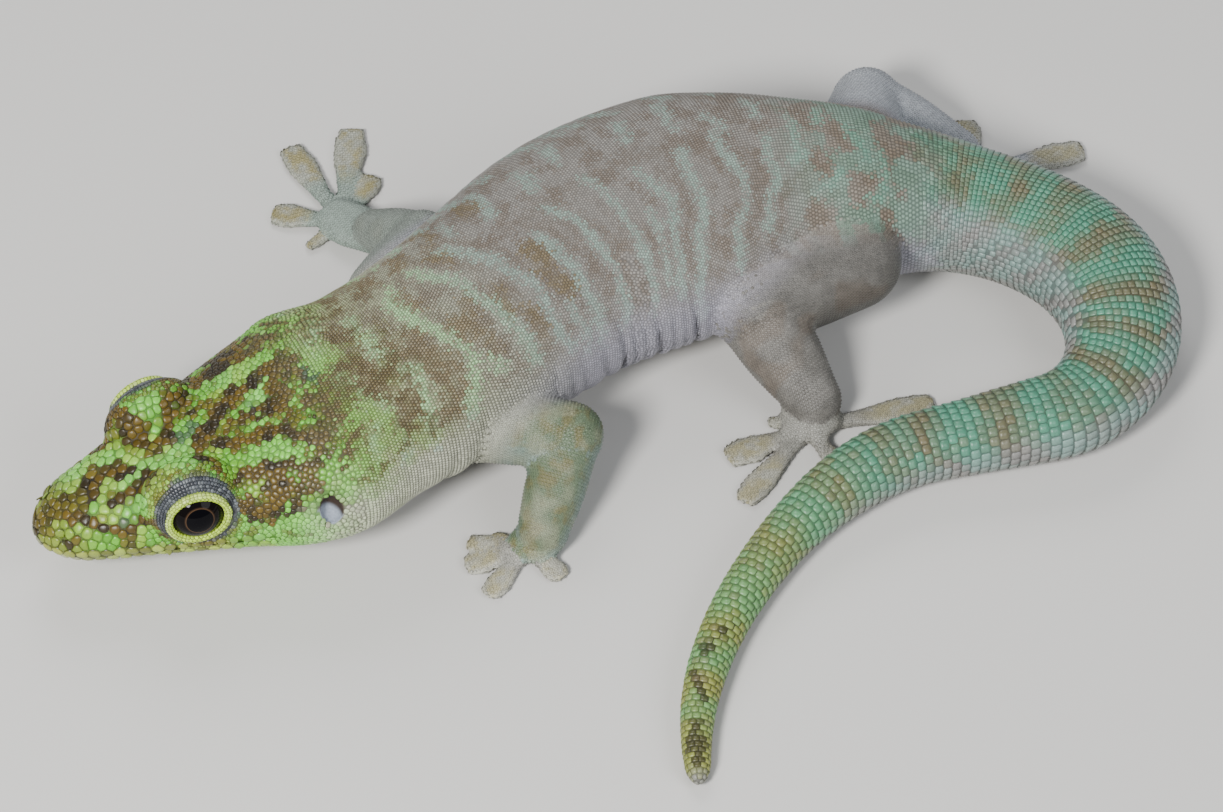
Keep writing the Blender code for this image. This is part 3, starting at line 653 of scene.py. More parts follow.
def fleshShapes():
    # Every rounded form of the body as a closed tube, overlapping its neighbours.
    inset = -skinForm["coatDepth"]
    nose = bodyForm["snoutRound"] * (1 - np.cos(np.linspace(0.05, np.pi / 2, 20)))
    tip = bodyLong - bodyForm["tailRound"] * (1 - np.cos(np.linspace(np.pi / 2, 0.1, 12)))
    where = np.concatenate([nose, np.arange(nose[-1] + 0.5, tip[0] - 0.2, 0.5), tip])
    turn = np.linspace(0, 2 * np.pi, 120, endpoint=False)
    shapes = [closedTube(bodySurface(where[:, None], turn[None, :], inset))]
    turn = np.linspace(0, 2 * np.pi, 36, endpoint=False)
    for limb in allLimbs:
        caps = limb["caps"]
        bow = np.radians(np.linspace(88, 8, 9))
        where = np.concatenate([
            -(caps[0] + inset) * np.sin(bow),
            np.linspace(0, limb["long"], int(limb["long"] / 0.4) + 3),
            limb["long"] + (caps[1] + inset) * np.sin(bow[::-1]),
        ])
        shapes.append(closedTube(limbSurface(limb, where[:, None], turn[None, :], inset)))
    for eye in eyes:
        radii = np.array(headForm["mound"]) + inset
        centre = eye["centre"] - eye["axes"][0] * headForm["moundInset"]
        shapes.append(ballShape(centre, eye["axes"], radii))
    inward, corner = headForm["lipRadius"] - headForm["lipOut"], headForm["mouthCorner"] - 1.5
    for offset in (headForm["lipOffset"], -headForm["lipOffset"]):
        line, _ = mouthLine(offset, inward, corner)
        radii = [headForm["lipRadius"] + inset * 0.5] * 4
        bead = {"path": line[2:-2:4], "wide": radii, "tall": radii}
        long = np.linalg.norm(np.diff(bead["path"], axis=0), axis=1).sum()
        where = np.linspace(0, long, 160)
        around = np.linspace(0, 2 * np.pi, 12, endpoint=False)
        shapes.append(closedTube(limbSurface(bead, where[:, None], around[None, :])))
    return shapes


def pleatGrooves(s, turn):
    # Narrow grooves that run down the flanks, 1 at the bottom of each, deeper every
    # third one; the second value is 1 where the flank is slack.
    c, h = np.cos(turn), np.sin(turn)
    slack = fadeIn(s, 50, 60) * (1 - fadeIn(s, 88, 96))
    slack = slack * fadeIn(0.75 - h, 0.1, 1.1) * np.abs(c) ** 0.4 * (1 - fadeIn(-h, 0.75, 0.95))
    wander = 0.5 * np.sin(0.7 * s) + 0.12 * np.sin(2.3 * s + 3 * turn)
    lean = (s + 1.3 * h + wander) / skinForm["foldSpacing"]
    groove = (1 - np.abs(np.sin(np.pi * lean))) ** 1.1
    return groove * (0.65 + 0.35 * np.cos(2 * np.pi * lean / 3)), slack


def foldsAt(part, s, turn):
    # Outward push of the slack skin: the pleats of the flanks and three folds round
    # the neck and shoulder.
    groove, slack = pleatGrooves(s, turn)
    push = -skinForm["foldDepth"] * slack * (groove - 0.3)
    h = np.sin(turn)
    low = np.clip(0.6 - h, 0, 1)
    for place, deep, wide in ((43.5, 0.45, 0.55), (40.6, 0.25, 0.5), (51.6, 0.4, 0.5)):
        push = push - deep * low * np.exp(-(((s - place - 2.0 * h) / wide) ** 2))
        push = push + 0.35 * deep * low * np.exp(-(((s - place - 1.5 - 2.0 * h) / 0.9) ** 2))
    return np.where(part == 0, push, 0.0)


def sideSpot(at, turn, hand):
    # A place on the head's side with its outward, forward and upward axes.
    _, along, right = middleLine(np.asarray(at))
    turn = np.radians(turn if hand > 0 else 180 - turn)
    return bodySurface(at, turn), np.array([right * hand, along, [0.0, 0.0, 1.0]])


def earCup(hand):
    # The hollow of an ear, as an ellipsoid.
    return *sideSpot(headForm["earAt"], headForm["earTurn"], hand), headForm["ear"]


def nostrilPit(hand):
    # The hollow of a nostril, as an ellipsoid.
    size = headForm["nostril"]
    return *sideSpot(headForm["nostrilAt"], headForm["nostrilTurn"], hand), (size * 1.3, size, size)


def buildSkin():
    points, faces = joinShapes(fleshShapes())
    skin = makeObject("skin", points, faces)
    remesh = skin.modifiers.new("remesh", "REMESH")
    remesh.mode = "VOXEL"
    remesh.voxel_size = skinForm["voxel"] * mm
    applied(skin)
    points, triangles = meshArrays(skin)
    edges = edgePairs(triangles)
    part, s, turn = findPlaces(points)
    # A crease is where neighbours belong to different parts, and it is softened more.
    crease = np.zeros(len(points))
    ends = part[edges[:, 0]] != part[edges[:, 1]]
    crease[np.unique(edges[ends])] = 1.0
    both = np.concatenate([edges, edges[:, ::-1]])
    number = np.maximum(np.bincount(both[:, 0], minlength=len(points)), 1)
    for _ in range(skinForm["creaseReach"]):
        crease = np.maximum(crease, np.bincount(both[:, 0], crease[both[:, 1]], len(points)) / number)
    kinds = np.array(["body"] + [limb["kind"] for limb in allLimbs])[part]
    toe = kinds == "toe"
    gentle = np.where(toe | (kinds == "palm"), 0.35, 1.0)
    points = relaxSurface(points, edges, gentle, skinForm["smoothing"])
    crease = np.clip(crease, 0, 1) * np.where(toe, 0.2, 1.0)
    points = relaxSurface(points, edges, crease, skinForm["creaseSmoothing"], 0.6)
    normals = pointNormals(points, triangles)
    points = points + normals * foldsAt(part, s, turn)[:, None]
    points[:, 2] = np.maximum(points[:, 2], 0.03)
    skin.data.vertices.foreach_set("co", (points * mm).astype(np.float32).ravel())
    skin.data.update()
    print("skin base", len(points), "points")
    lids, cuts = [], [mouthGroove()]
    for eye in eyes:
        axes = eye["axes"]
        lids.append(hoopShape(
            eye["centre"] + axes[0] * headForm["lidReach"], axes,
            (headForm["lidRadius"] * 1.04, headForm["lidRadius"] * 0.97), headForm["lidThick"],
        ))
        cuts.append(ballShape(eye["centre"], axes, [headForm["eyeRadius"] + 0.06] * 3))
        cuts.append(ballShape(*earCup(eye["hand"])))
        cuts.append(ballShape(*nostrilPit(eye["hand"]), 10, 16))
    combine(skin, lids, "UNION")
    combine(skin, cuts, "DIFFERENCE")
    return skin


skin = buildSkin()
skinPoints, skinTriangles = meshArrays(skin)
skinNormals = pointNormals(skinPoints, skinTriangles)
skinPart, skinAlong, skinTurn = findPlaces(skinPoints)
print("skin", len(skinTriangles), "triangles")


def setOnSkin(points, reach=0.9):
    # Lays points on the skin: a soft mean of the skin round each point gives a plane,
    # and the point drops square onto it. Returns places, normals, height and hits.
    i, j = nearbyPairs(points, skinPoints, reach)
    gap = ((points[i] - skinPoints[j]) ** 2).sum(1)
    nearest = np.full(len(points), reach * reach)
    np.minimum.at(nearest, i, gap)
    weight = np.exp(-(gap - nearest[i]) / 0.06)
    total = np.maximum(np.bincount(i, weight, len(points)), 1e-9)
    mean = np.stack([np.bincount(i, weight * skinPoints[j, k], len(points)) / total for k in range(3)], 1)
    normal = np.stack([np.bincount(i, weight * skinNormals[j, k], len(points)) for k in range(3)], 1)
    normal /= np.maximum(np.linalg.norm(normal, axis=1), 1e-9)[:, None]
    height = ((points - mean) * normal).sum(1)
    hit = np.bincount(i, minlength=len(points)) > 0
    return points - normal * height[:, None], normal, height, hit, np.sqrt(nearest)


# Sizes of the scales

def eyeReach(points):
    # Distance of each point from the axis of the eye on its side, and how far out.
    reach, out = np.full(len(points), 99.0), np.zeros(len(points))
    for eye in eyes:
        offset = points - eye["centre"]
        along = offset @ eye["axes"][0]
        radial = np.linalg.norm(offset - along[:, None] * eye["axes"][0], axis=1)
        near = (radial < reach) & (along > -1.0) & (along < 6.0)
        reach[near], out[near] = radial[near], along[near]
    return reach, out


scaleForm = {
    "headTop": ([0, 3, 10, 15, 22, 31, 38], [0.8, 0.95, 0.95, 0.82, 0.62, 0.47, 0.4]),
    "headSide": ([0, 8, 12, 22, 31, 38], [0.9, 0.9, 0.75, 0.52, 0.45, 0.4]),
    "throat": ([0, 10, 31, 38], [0.7, 0.6, 0.5, 0.45]),
    # distance from the snout, width there, and length as a share of the width
    "rows": ([31, 84, 98, 113, 125, 140, 155, 175, 200, 217.2],
             [0.36, 0.36, 0.45, 0.62, 0.76, 0.92, 1.08, 1.12, 1.05, 0.8],
             [0.88, 0.88, 0.9, 0.94, 0.98, 1.0, 1.0, 0.95, 0.8, 0.7]),
    "lip": 1.1, "lipPitch": 1.32,
    "belly": 0.8, "limb": 0.42, "foot": 0.42,
    "lid": 0.42, "eyeRing": 0.36,
    "widest": 0.8,  # how far a scale may spread into a gap, as a share of its size
}


def scaleSize(part, s, turn, points):
    # Width of a scale at a place: large on the snout and belly, small at the neck.
    h = np.sin(turn)
    top = fadeIn(h, 0.1, 0.55)
    low = fadeIn(-h, 0.3, 0.7)
    head = np.interp(s, *scaleForm["headTop"]) * top + np.interp(s, *scaleForm["headSide"]) * (1 - top)
    head = head * (1 - low) + np.interp(s, *scaleForm["throat"]) * low
    rows = np.interp(s, *scaleForm["rows"][:2]) * np.interp(s, *scaleForm["rows"][::2]) ** 0.5
    belly = fadeIn(-h, 0.55, 0.75) * (1 - fadeIn(s, 100, 108))
    rows = rows + (np.maximum(scaleForm["belly"] - rows, 0)) * belly
    body = head * (1 - fadeIn(s, 34, 42)) + rows * fadeIn(s, 34, 42)
    reach, _ = eyeReach(points)
    ring = scaleForm["lid"] + (scaleForm["eyeRing"] - scaleForm["lid"]) * fadeIn(reach, 3.4, 3.6)
    ring = ring + (body - ring) * fadeIn(reach, 4.6, 6.0)
    body = np.where((reach < 6.0) & (s < 24), ring, body)
    kind = np.array([0] + [1 if limb["kind"] in ("upper", "lower") else 2 for limb in allLimbs])[part]
    return np.where(kind == 0, body, np.where(kind == 1, scaleForm["limb"], scaleForm["foot"]))


def partRows(part, start, end, pitch):
    # Distances of rows that lie pitch apart along the surface, measured on four lines.
    fine = np.linspace(start, end, int((end - start) / 0.05) + 40)
    quarter = np.arange(4) * np.pi / 2 + 0.4
    lines = partSurface(part, fine[:, None], quarter[None, :])
    paces = np.linalg.norm(np.diff(lines, axis=0), axis=2).mean(1)
    reach = np.concatenate([[0], np.cumsum(paces / pitch((fine[1:] + fine[:-1]) / 2))])
    return np.interp(np.arange(0.5, reach[-1], 1.0), reach, fine)


def rowSites(part, s, number, size):
    # Sites round one row, spaced by the size wanted at each turn; odd rows are
    # shifted half a step, so that the scales interlock.
    turn = np.linspace(0, 2 * np.pi, 241)
    ring = partSurface(part, np.full(241, s), turn)
    pace = np.linalg.norm(np.diff(ring, axis=0), axis=1)
    middle = (turn[1:] + turn[:-1]) / 2
    reach = np.concatenate([[0], np.cumsum(pace / size(np.full(240, s), middle))])
    count = max(int(round(reach[-1])), 5)
    marks = (np.arange(count) + 0.5 * (number % 2)) * reach[-1] / count
    return np.interp(marks % reach[-1], reach, turn)


def latticeSites(part, start, end, rowPitch, size):
    # Rows of sites over a whole part.
    rows = partRows(part, start, end, rowPitch)
    turns = [rowSites(part, row, number, size) for number, row in enumerate(rows)]
    return np.repeat(rows, [len(turn) for turn in turns]), np.concatenate(turns)


def flatSize(value):
    # A size that is the same everywhere.
    return lambda *anything: np.full(np.shape(anything[0]), value)


def plannedSites():
    # Rows of sites on the trunk, tail and legs.
    parts, alongs, turns = [], [], []

    def keep(part, s, turn):
        parts.append(np.full(len(s), part))
        alongs.append(s)
        turns.append(turn)

    def rowWidth(where, turn=None):  # the same all round the body
        return np.interp(where, *scaleForm["rows"][:2])

    def rowLength(where):
        return rowWidth(where) * np.interp(where, *scaleForm["rows"][::2])

    s, turn = latticeSites(0, 31.0, bodyLong - 0.1, rowLength, rowWidth)
    belly = (np.sin(turn) < -0.66) & (s < 108)
    keep(0, s[~belly], turn[~belly])
    wide = scaleForm["belly"]
    s, turn = latticeSites(0, 36.0, 108.0, flatSize(wide * 0.87), flatSize(wide))
    belly = np.sin(turn) < -0.68
    keep(0, s[belly], turn[belly])
    for part, limb in enumerate(allLimbs, 1):
        start, end = partEnds(part)
        size = scaleForm["limb"] if limb["kind"] in ("upper", "lower") else scaleForm["foot"]
        if limb["kind"] == "toe":
            # the scales of a toe are short plates that lie across it
            s, turn = latticeSites(part, 1.0, end, flatSize(size * 0.86), flatSize(size * 1.5))
        else:
            s, turn = latticeSites(part, start, end, flatSize(size * 0.87), flatSize(size))
        keep(part, s, turn)
    return np.concatenate(parts), np.concatenate(alongs), np.concatenate(turns)


def eyeRingSites():
    # Rows of granules round each eye, with their normals: four over the lid's bead,
    # at angle b round it, and then rows over the mound, which is an ellipsoid.
    points, normals = [], []
    bead = headForm["lidThick"]
    for eye in eyes:
        rows = [(np.radians(b), None, scaleForm["lid"]) for b in (150, 98, 46, -6)]
        rows += [(None, reach, scaleForm["eyeRing"]) for reach in headForm["ringRows"]]
        for number, (angle, reach, size) in enumerate(rows):
            radius = reach or headForm["lidRadius"] + bead * np.cos(angle)
            count = int(2 * np.pi * radius / size)
            turn = (np.arange(count) + 0.5 * (number % 2)) * 2 * np.pi / count
            turn = turn + draw.normal(0, 0.012, count)
            c, h = np.cos(turn), np.sin(turn)
            if reach:
                radii = np.array(headForm["mound"]) - skinForm["coatDepth"]
                share = np.sqrt((c / radii[1]) ** 2 + (h / radii[2]) ** 2) * radius
                up = radii[0] * np.sqrt(np.clip(1 - share**2, 0, 1))
                local = np.stack([up - headForm["moundInset"], radius * c, radius * h], 1)
                normal = local + [headForm["moundInset"], 0, 0]
                normal = normal / radii**2
            else:
                up = headForm["lidReach"] + bead * np.sin(angle) + 0 * turn
                local = np.stack([up, radius * 1.04 * c, radius * 0.97 * h], 1)
                normal = np.stack([np.sin(angle) + 0 * turn, np.cos(angle) * c, np.cos(angle) * h], 1)
            points.append(eye["centre"] + local @ eye["axes"])
            normals.append((normal / np.linalg.norm(normal, axis=1)[:, None]) @ eye["axes"])
    return np.concatenate(points), np.concatenate(normals)


def inOpening(points):
    # Which points lie in the cup of an ear or in a nostril.
    inside = np.zeros(len(points), bool)
    for hand in (1, -1):
        for centre, axes, radii in (earCup(hand), nostrilPit(hand)):
            local = (points - centre) @ axes.T / (np.array(radii) * siteForm["opening"])
            inside |= (local**2).sum(1) < 1
    return inside


def labialSites():
    # One row of large squarish scales along each lip.
    rows = []
    for offset in (0.62, -0.62):
        line, _ = mouthLine(offset, 0.0, headForm["mouthCorner"] - 1.0)
        reach = np.concatenate([[0], np.cumsum(np.linalg.norm(np.diff(line, axis=0), axis=1))])
        even = np.arange(0.3, reach[-1], scaleForm["lipPitch"])
        rows.append(np.stack([np.interp(even, reach, line[:, i]) for i in range(3)], 1))
    return np.concatenate(rows)


def thinned(points, sizes, locked):
    # Parallel dart throwing: in each round the points of lowest rank among those too
    # near each other stay, and their neighbours go.
    count = len(points)
    rank = draw.random(count) + np.where(locked, -2.0, 0.0)
    i, j = nearbyPairs(points, points, sizes.max())
    limit = 0.5 * (sizes[i] + sizes[j])
    near = (i != j) & (np.linalg.norm(points[i] - points[j], axis=1) < limit)
    i, j = i[near], j[near]
    state = np.zeros(count, int)
    state[locked] = 1
    gone = np.zeros(count, bool)
    gone[j[state[i] == 1]] = True
    gone[locked] = False
    state[gone] = -1
    while (state == 0).any():
        free = (state[i] == 0) & (state[j] == 0)
        lowest = np.full(count, np.inf)
        np.minimum.at(lowest, i[free], rank[j[free]])
        chosen = (state == 0) & (rank < lowest)
        state[chosen] = 1
        struck = np.zeros(count, bool)
        struck[j[chosen[i]]] = True
        state[struck & (state == 0)] = -1
    return state == 1


def skinDarts(perArea):
    # Random points spread evenly over the skin's triangles.
    a, b, c = (skinPoints[skinTriangles[:, k]] for k in range(3))
    area = np.linalg.norm(np.cross(b - a, c - a), axis=1) / 2
    number = draw.poisson(area * perArea)
    pick = np.repeat(np.arange(len(area)), number)
    u, v = draw.random(len(pick)), draw.random(len(pick))
    over = u + v > 1
    u[over], v[over] = 1 - u[over], 1 - v[over]
    return a[pick] + (b - a)[pick] * u[:, None] + (c - a)[pick] * v[:, None]


siteForm = {
    "offBody": 0.85, "offLimb": 0.32,  # how far a planned site may lie off the skin
    "offPoint": 0.62,  # and off the nearest point of it
    "lipLook": 1.4, "lipOff": 0.5,
    "ringLook": 1.2, "ringCovered": -0.06, "ringDeep": -0.5,
    "eyeClear": 3.5,  # loose scales keep this far from the eye's axis
    "opening": 1.2,  # and out of ears and nostrils grown by this
    "darts": 24.0,  # loose points tried on each square millimetre
    "plannedCrowd": 0.72, "firmCrowd": 0.5, "looseCrowd": 0.86,
    "rounds": 5, "apart": 0.52, "push": 0.35,
}


def allSites():
    # The places round the eyes stay as they are. The planned rows and then loose
    # points fill the rest of the skin and push each other apart until they lie evenly.
    part, s, turn = plannedSites()
    points = np.empty((len(part), 3))
    for number in np.unique(part):
        mine = part == number
        points[mine] = partSurface(number, s[mine], turn[mine], -skinForm["coatDepth"])
    placed, _, height, hit, gap = setOnSkin(points)
    off = np.where(part == 0, siteForm["offBody"], siteForm["offLimb"])
    planned = placed[hit & (np.abs(height) < off) & (gap < siteForm["offPoint"])]
    lips, _, _, hit, gap = setOnSkin(labialSites(), siteForm["lipLook"])
    lips = lips[hit & (gap < siteForm["lipOff"])]
    eyePoints, eyeNormals = eyeRingSites()
    # those that the cheek covers a little come up onto it, and the deep ones go
    raised, upward, height, hit, _ = setOnSkin(eyePoints, siteForm["ringLook"])
    covered = hit & (height < siteForm["ringCovered"])
    eyePoints[covered], eyeNormals[covered] = raised[covered], upward[covered]
    shown = hit & (height > siteForm["ringDeep"])
    eyePoints, eyeNormals = eyePoints[shown], eyeNormals[shown]
    eyeCount = len(eyePoints)
    firm = eyeCount + len(lips)

    def sizesOf(points):
        sizes = scaleSize(*findPlaces(points), points)
        sizes[eyeCount:firm] = scaleForm["lip"]
        return sizes

    points = np.concatenate([eyePoints, lips, planned])
    sizes = sizesOf(points)
    locked = np.arange(len(points)) < firm
    crowd = np.where(locked, siteForm["firmCrowd"], sizes * siteForm["plannedCrowd"])
    reach, _ = eyeReach(points)
    inEye = (reach < siteForm["eyeClear"]) & ~locked
    points = points[thinned(points, crowd, locked) & ~inEye & ~inOpening(points)]
    darts = skinDarts(siteForm["darts"])
    reach, _ = eyeReach(darts)
    darts = darts[(reach > siteForm["eyeClear"]) & ~inOpening(darts)]
    locked = np.arange(len(points) + len(darts)) < len(points)
    points = np.concatenate([points, darts])
    sizes = sizesOf(points)
    points = points[thinned(points, sizes * siteForm["looseCrowd"], locked)]
    free = (np.arange(len(points)) >= firm).astype(float)
    for _ in range(siteForm["rounds"]):
        sizes = sizesOf(points)
        i, j = nearbyPairs(points, points, sizes.max() * 1.05)
        apart = i != j
        i, j = i[apart], j[apart]
        step = points[i] - points[j]
        length = np.maximum(np.linalg.norm(step, axis=1), 1e-6)
        limit = siteForm["apart"] * (sizes[i] + sizes[j])
        push = np.clip(1 - length / limit, 0, 1) * siteForm["push"] * limit / length
        move = np.stack([np.bincount(i, step[:, k] * push, len(points)) for k in range(3)], 1)
        points, normal, _, _, _ = setOnSkin(points + move * free[:, None])
        points[:eyeCount], normal[:eyeCount] = eyePoints, eyeNormals
    return points, normal, sizesOf(points), *findPlaces(points)


sitePoints, siteNormals, siteSizes, sitePart, siteAlong, siteTurn = allSites()
print("sites", len(sitePoints))


# Markings

def tone(code):
    # A colour written as six hex digits, as linear red, green and blue.
    value = np.array([int(code[i:i + 2], 16) for i in (0, 2, 4)]) / 255
    return np.where(value > 0.04045, ((value + 0.055) / 1.055) ** 2.4, value / 12.92)


def hashed(cells, seed):
    # A fixed random number from 0 to 1 for each whole-number cell.
    value = (cells * np.array([127.1, 311.7, 74.7])[: cells.shape[-1]]).sum(-1) + seed * 19.19
    return np.modf(np.abs(np.sin(value) * 43758.5453))[0]


def softNoise(points, size, seed):
    # Value noise: random corners of a lattice, blended by an eased cube.
    cell = np.floor(points / size)
    part = points / size - cell
    part = part * part * (3 - 2 * part)
    total = 0.0
    for corner in np.ndindex(*(2,) * points.shape[-1]):
        weight = np.prod(np.where(np.array(corner) > 0, part, 1 - part), axis=-1)
        total = total + weight * hashed(cell + corner, seed)
    return total


colours = {
    "leaf": tone("62a82c"), "leafPale": tone("80ca58"), "leafGold": tone("9aa834"),
    "olive": tone("82882e"), "amber": tone("5a4914"), "umber": tone("2c2410"),
    "slate": tone("33373e"), "slatePale": tone("747a7e"), "lidGreen": tone("b4d440"),
    "lidPale": tone("c9dc84"), "chin": tone("a9ad90"), "labial": tone("9ca448"),
    "labialBar": tone("3f341c"), "earShadeBrown": tone("4a3626"), "earPale": tone("a2acba"),
    "neckTop": tone("8c985c"), "granule": tone("989a80"), "cream": tone("bcbea8"),
    "napeBrown": tone("5c5030"), "neckBrown": tone("75674c"), "neckLine": tone("98c08a"),
    "taupe": tone("6e6052"),
    "mist": tone("8b8781"), "mint": tone("8fa599"), "lavender": tone("9d9ba6"),
    "flankLine": tone("a8adb4"), "belly": tone("b5b2ac"), "rumpGreen": tone("6fa08a"),
    "rumpBrown": tone("7f705c"), "bandGreen": tone("4e8d74"), "bandBrown": tone("69684f"),
    "tailLeaf": tone("68965a"), "tailOlive": tone("84863e"), "tailDark": tone("35301c"),
    "tailTip": tone("85857c"), "leg": tone("6e6b66"), "legPale": tone("7e7b76"),
    "forearm": tone("64745a"), "forearmGold": tone("706a42"), "armEdge": tone("7c8e86"),
    "foot": tone("98978f"), "handPale": tone("8fa096"), "padCream": tone("a6a598"),
    "padCentre": tone("968a4c"),
}

# Marks drawn on the body's own chart: each is its width in millimetres and
# the points it runs through, as distance from the snout and distance from the middle
# of the back, which is positive on the animal's left.
marks = {
    "headBrown": (
        (1.5, (10, -4.5), (11.5, -3.5), (12.5, -2), (14.5, -0.5)),
        (1.4, (6, 1.5), (6.5, 0), (8, -0.5), (9.5, 0), (10.5, 0.5)),
        (1.3, (8.5, 2.5), (10, 3), (11, 2.5), (12, 2)),
        (1.1, (3.5, 1.5), (5.5, 3.5), (7, 5), (8.5, 6), (11.5, 6)),
        (1.3, (15, 0), (16, -1.5), (17, -2.5), (18, -3), (19, -3.5)),
        (1.6, (17.5, 2), (18.5, 1), (20, 0), (21.5, -1), (23.5, -1.5), (26, -2), (28, -2.5)),
        (1.6, (20, -5), (22, -5.5), (24, -6), (26, -5.5)),
        (1.7, (20, 2.5), (21.5, 3), (23.5, 3.5), (25.5, 3.5)),
        (1.3, (21.5, 1), (23, 1), (24.5, 1)),
        (1.4, (25, 1.5), (27, 1.5), (28, 0.5)),
        (1.5, (20.5, 6.5), (22, 6.5), (23.5, 6.5), (24.5, 7.5)),
        (2.2, (24.5, 7.5), (24.3, 9), (23, 10.5), (21.5, 11), (20.5, 9.5)),
        (1.4, (24.5, 7), (26.5, 8), (28, 8.5)),
        (1.2, (25.5, 12.5), (27, 11), (27.5, 9.5)),
        (1.3, (26.5, 4), (27.5, 5), (28.5, 6.5), (29.5, 7)),
        (1.4, (29.5, 2.5), (30.5, 2), (31.5, 2)),
        (1.5, (30.5, 5), (32, 4.5), (33, 4)),
        (1.3, (27, 0), (27.5, -1.5), (29, -1.5), (30.5, -2.5)),
        (1.0, (17.5, 3), (18.5, 4), (19, 5)),
        (1.0, (26, 9.5), (25.8, 11), (24.6, 12.4)), (0.9, (22, 12.5), (23, 12.8)),
        (1.1, (32, 7), (31, 8.5), (30.5, 9.5)), (1.0, (33.5, 1), (34.5, 2)),
    ),
    "headSlate": ((1.1, (18, -0.5), (17.8, -0.4)), (1.0, (16.5, 0), (16.3, 0)), (1.0, (8.5, 5), (8.4, 5)),
                  (1.0, (30, -0.3), (31, 0.6)), (0.9, (24.4, 0.7), (24.6, 0.9))),
    "neckLines": (
        (1.1, (43.5, -3.5), (42.5, -1.5), (43, 0.5), (44.3, 3), (45, 6), (44.5, 8.5), (43.5, 11),
         (42.5, 13)),
        (0.9, (39, 4), (40.5, 5), (40, 6.5), (39.5, 9), (39, 11.5), (39, 14)),
        (1.1, (34, -5), (32.5, 0), (33, 2), (34, 4), (35, 6)),
        (0.9, (35.5, 7.5), (34, 8.5), (33, 10), (32, 12)),
        (1.2, (37.5, -2.5), (37.5, -0.5), (37, 1), (37.8, 2.5)),
        (0.9, (36.5, 10), (36, 12), (36, 14)),
        (0.9, (46.5, 8.5), (47.5, 10.5)),
    ),
    "backLines": (
        (1.1, (47, -4), (47.5, -2), (49.5, 0), (50, 3.5), (50, 5.5), (50.5, 8), (50.5, 12)),
        (1.1, (51.5, -3.5), (53, -1), (54.5, 1), (55, 5), (54.5, 7.5), (54.5, 13)),
        (1.2, (60, 1.5), (60, 5.5), (59.5, 8), (59.5, 10.5), (58.5, 15.5)),
        (0.9, (57, 9), (57, 12), (56.5, 15)),
        (1.1, (63.5, -0.5), (64.5, 1.5), (64.5, 6.5), (64, 9), (62, 15)),
        (1.0, (68.5, -1), (70, 2.5), (69.5, 7), (69, 9.5), (66.5, 16)),
        (0.8, (72.5, 4), (72, 8), (70.5, 13)),
        (1.1, (74.5, 0), (75.5, 3.5), (75, 6), (73, 11.5), (72, 14.5)),
        (1.2, (79.5, 0), (79, 4.5), (78, 7), (76.5, 10.5), (75, 14.5), (74.5, 19)),
        (1.1, (83.5, -1.5), (85, 3.5), (84.5, 5.5), (82, 9.5), (81, 13)),
        (1.1, (88.5, 0), (89.5, 4.5), (88, 6.5), (86.5, 9.5)),
        (1.1, (92, -3), (92.5, 2), (91.5, 3)),
        (1.1, (97.5, -2), (99, 0.5), (99.5, 2)),
        (1.1, (96.5, 3.5), (95.5, 5), (94, 6.5)),
        (1.1, (101.5, 1.5), (101.5, 4.5), (100, 6.5)),
    ),
    "farLines": (
        (1.1, (60, -8.5), (58.5, -3.5)), (1.0, (64.5, -6), (64, -3)), (1.0, (69, -7.5), (68, -4.5)),
        (1.0, (75.5, -6.5), (75, -3.5)), (1.0, (80, -8), (80, -4.5), (80, -3)),
        (1.0, (84, -4.5), (85, -2)), (1.0, (88.5, -6), (88.5, -3)), (0.9, (55, -7), (54, -4.5)),
        (1.0, (95, -5), (95, -2.5)),
    ),
    "neckBrown": (
        (2.2, (35, -2), (36, -1.5)), (2.4, (35, 1.5), (35.5, 3), (35.5, 5)),
        (2.2, (39, 2), (39, 3.5), (37.5, 4.5)), (2.0, (41.5, 3.8), (41.5, 5)),
        (1.8, (44, -1.5), (44, -0.5)), (1.9, (46, 3.5), (46.5, 5), (48.5, 2.5)),
        (2.0, (51.5, 3.5), (51, 5)), (2.2, (58, 2), (58.5, 3.5), (57, 4)),
        (2.4, (42.5, 5.5), (42.5, 7.5), (42, 10), (41.5, 11)),
        (1.8, (32, 2), (31, 2.5), (31.5, 4), (30.5, 5)), (1.8, (29, 5.5), (29.5, 6.5)),
        (1.8, (50, -4), (50.5, -2.5)), (1.6, (41.5, 1.5), (42.5, 2.5)), (1.8, (58, 6), (58, 8)),
        (2.0, (38, 7.5), (37.5, 10)), (1.8, (47.5, 6), (47.6, 8)), (1.8, (52.6, 7), (52.4, 9.5)),
    ),
    "tailDark": (
        (1.0, (199.4, -0.6), (200.5, 0), (202, 0.2)), (0.7, (197.5, -1.2), (198.6, -1)),
        (1.1, (205.6, 0.7), (206.6, 0)), (1.0, (208, -0.5), (207.2, -0.3)),
        (1.3, (211.2, 0), (212.5, 0), (215.2, 0)), (1.0, (212.6, 0.9), (213.6, 0.8)),
    ),
}
# Green (1) and brown (-1) bands down the rump and tail, by distance from the snout.
tailBands = (
    (99, 0.4), (101.5, 1), (104.8, -0.9), (107.5, 0.9), (111, -1), (114, 1), (117, -1), (120, 1),
    (122.5, -0.9), (125.5, 1), (127.8, -1), (131.5, 0.8), (133, 0.5), (136, -1), (138, 1), (139.6, -0.8),
    (142, 1), (144.5, -1), (147.5, 0.7), (150, -0.2), (153.5, 0.7), (157.5, -0.9), (160.4, 0.3),
    (162.5, 1), (165.5, -0.8), (168, 0.4), (170.5, -0.4), (173, 0.6), (177, -0.5), (182, 0.5),
    (187, -0.4), (191, -0.1), (195, 0.6), (199, -0.7), (203, 0.7), (206.5, -1), (209, 0.2), (213, -1),
    (217.2, -1),
)


def blend(first, second, share):
    # first + (second - first) share, with share held between 0 and 1.
    return first + (second - first) * np.clip(share, 0, 1)[:, None]


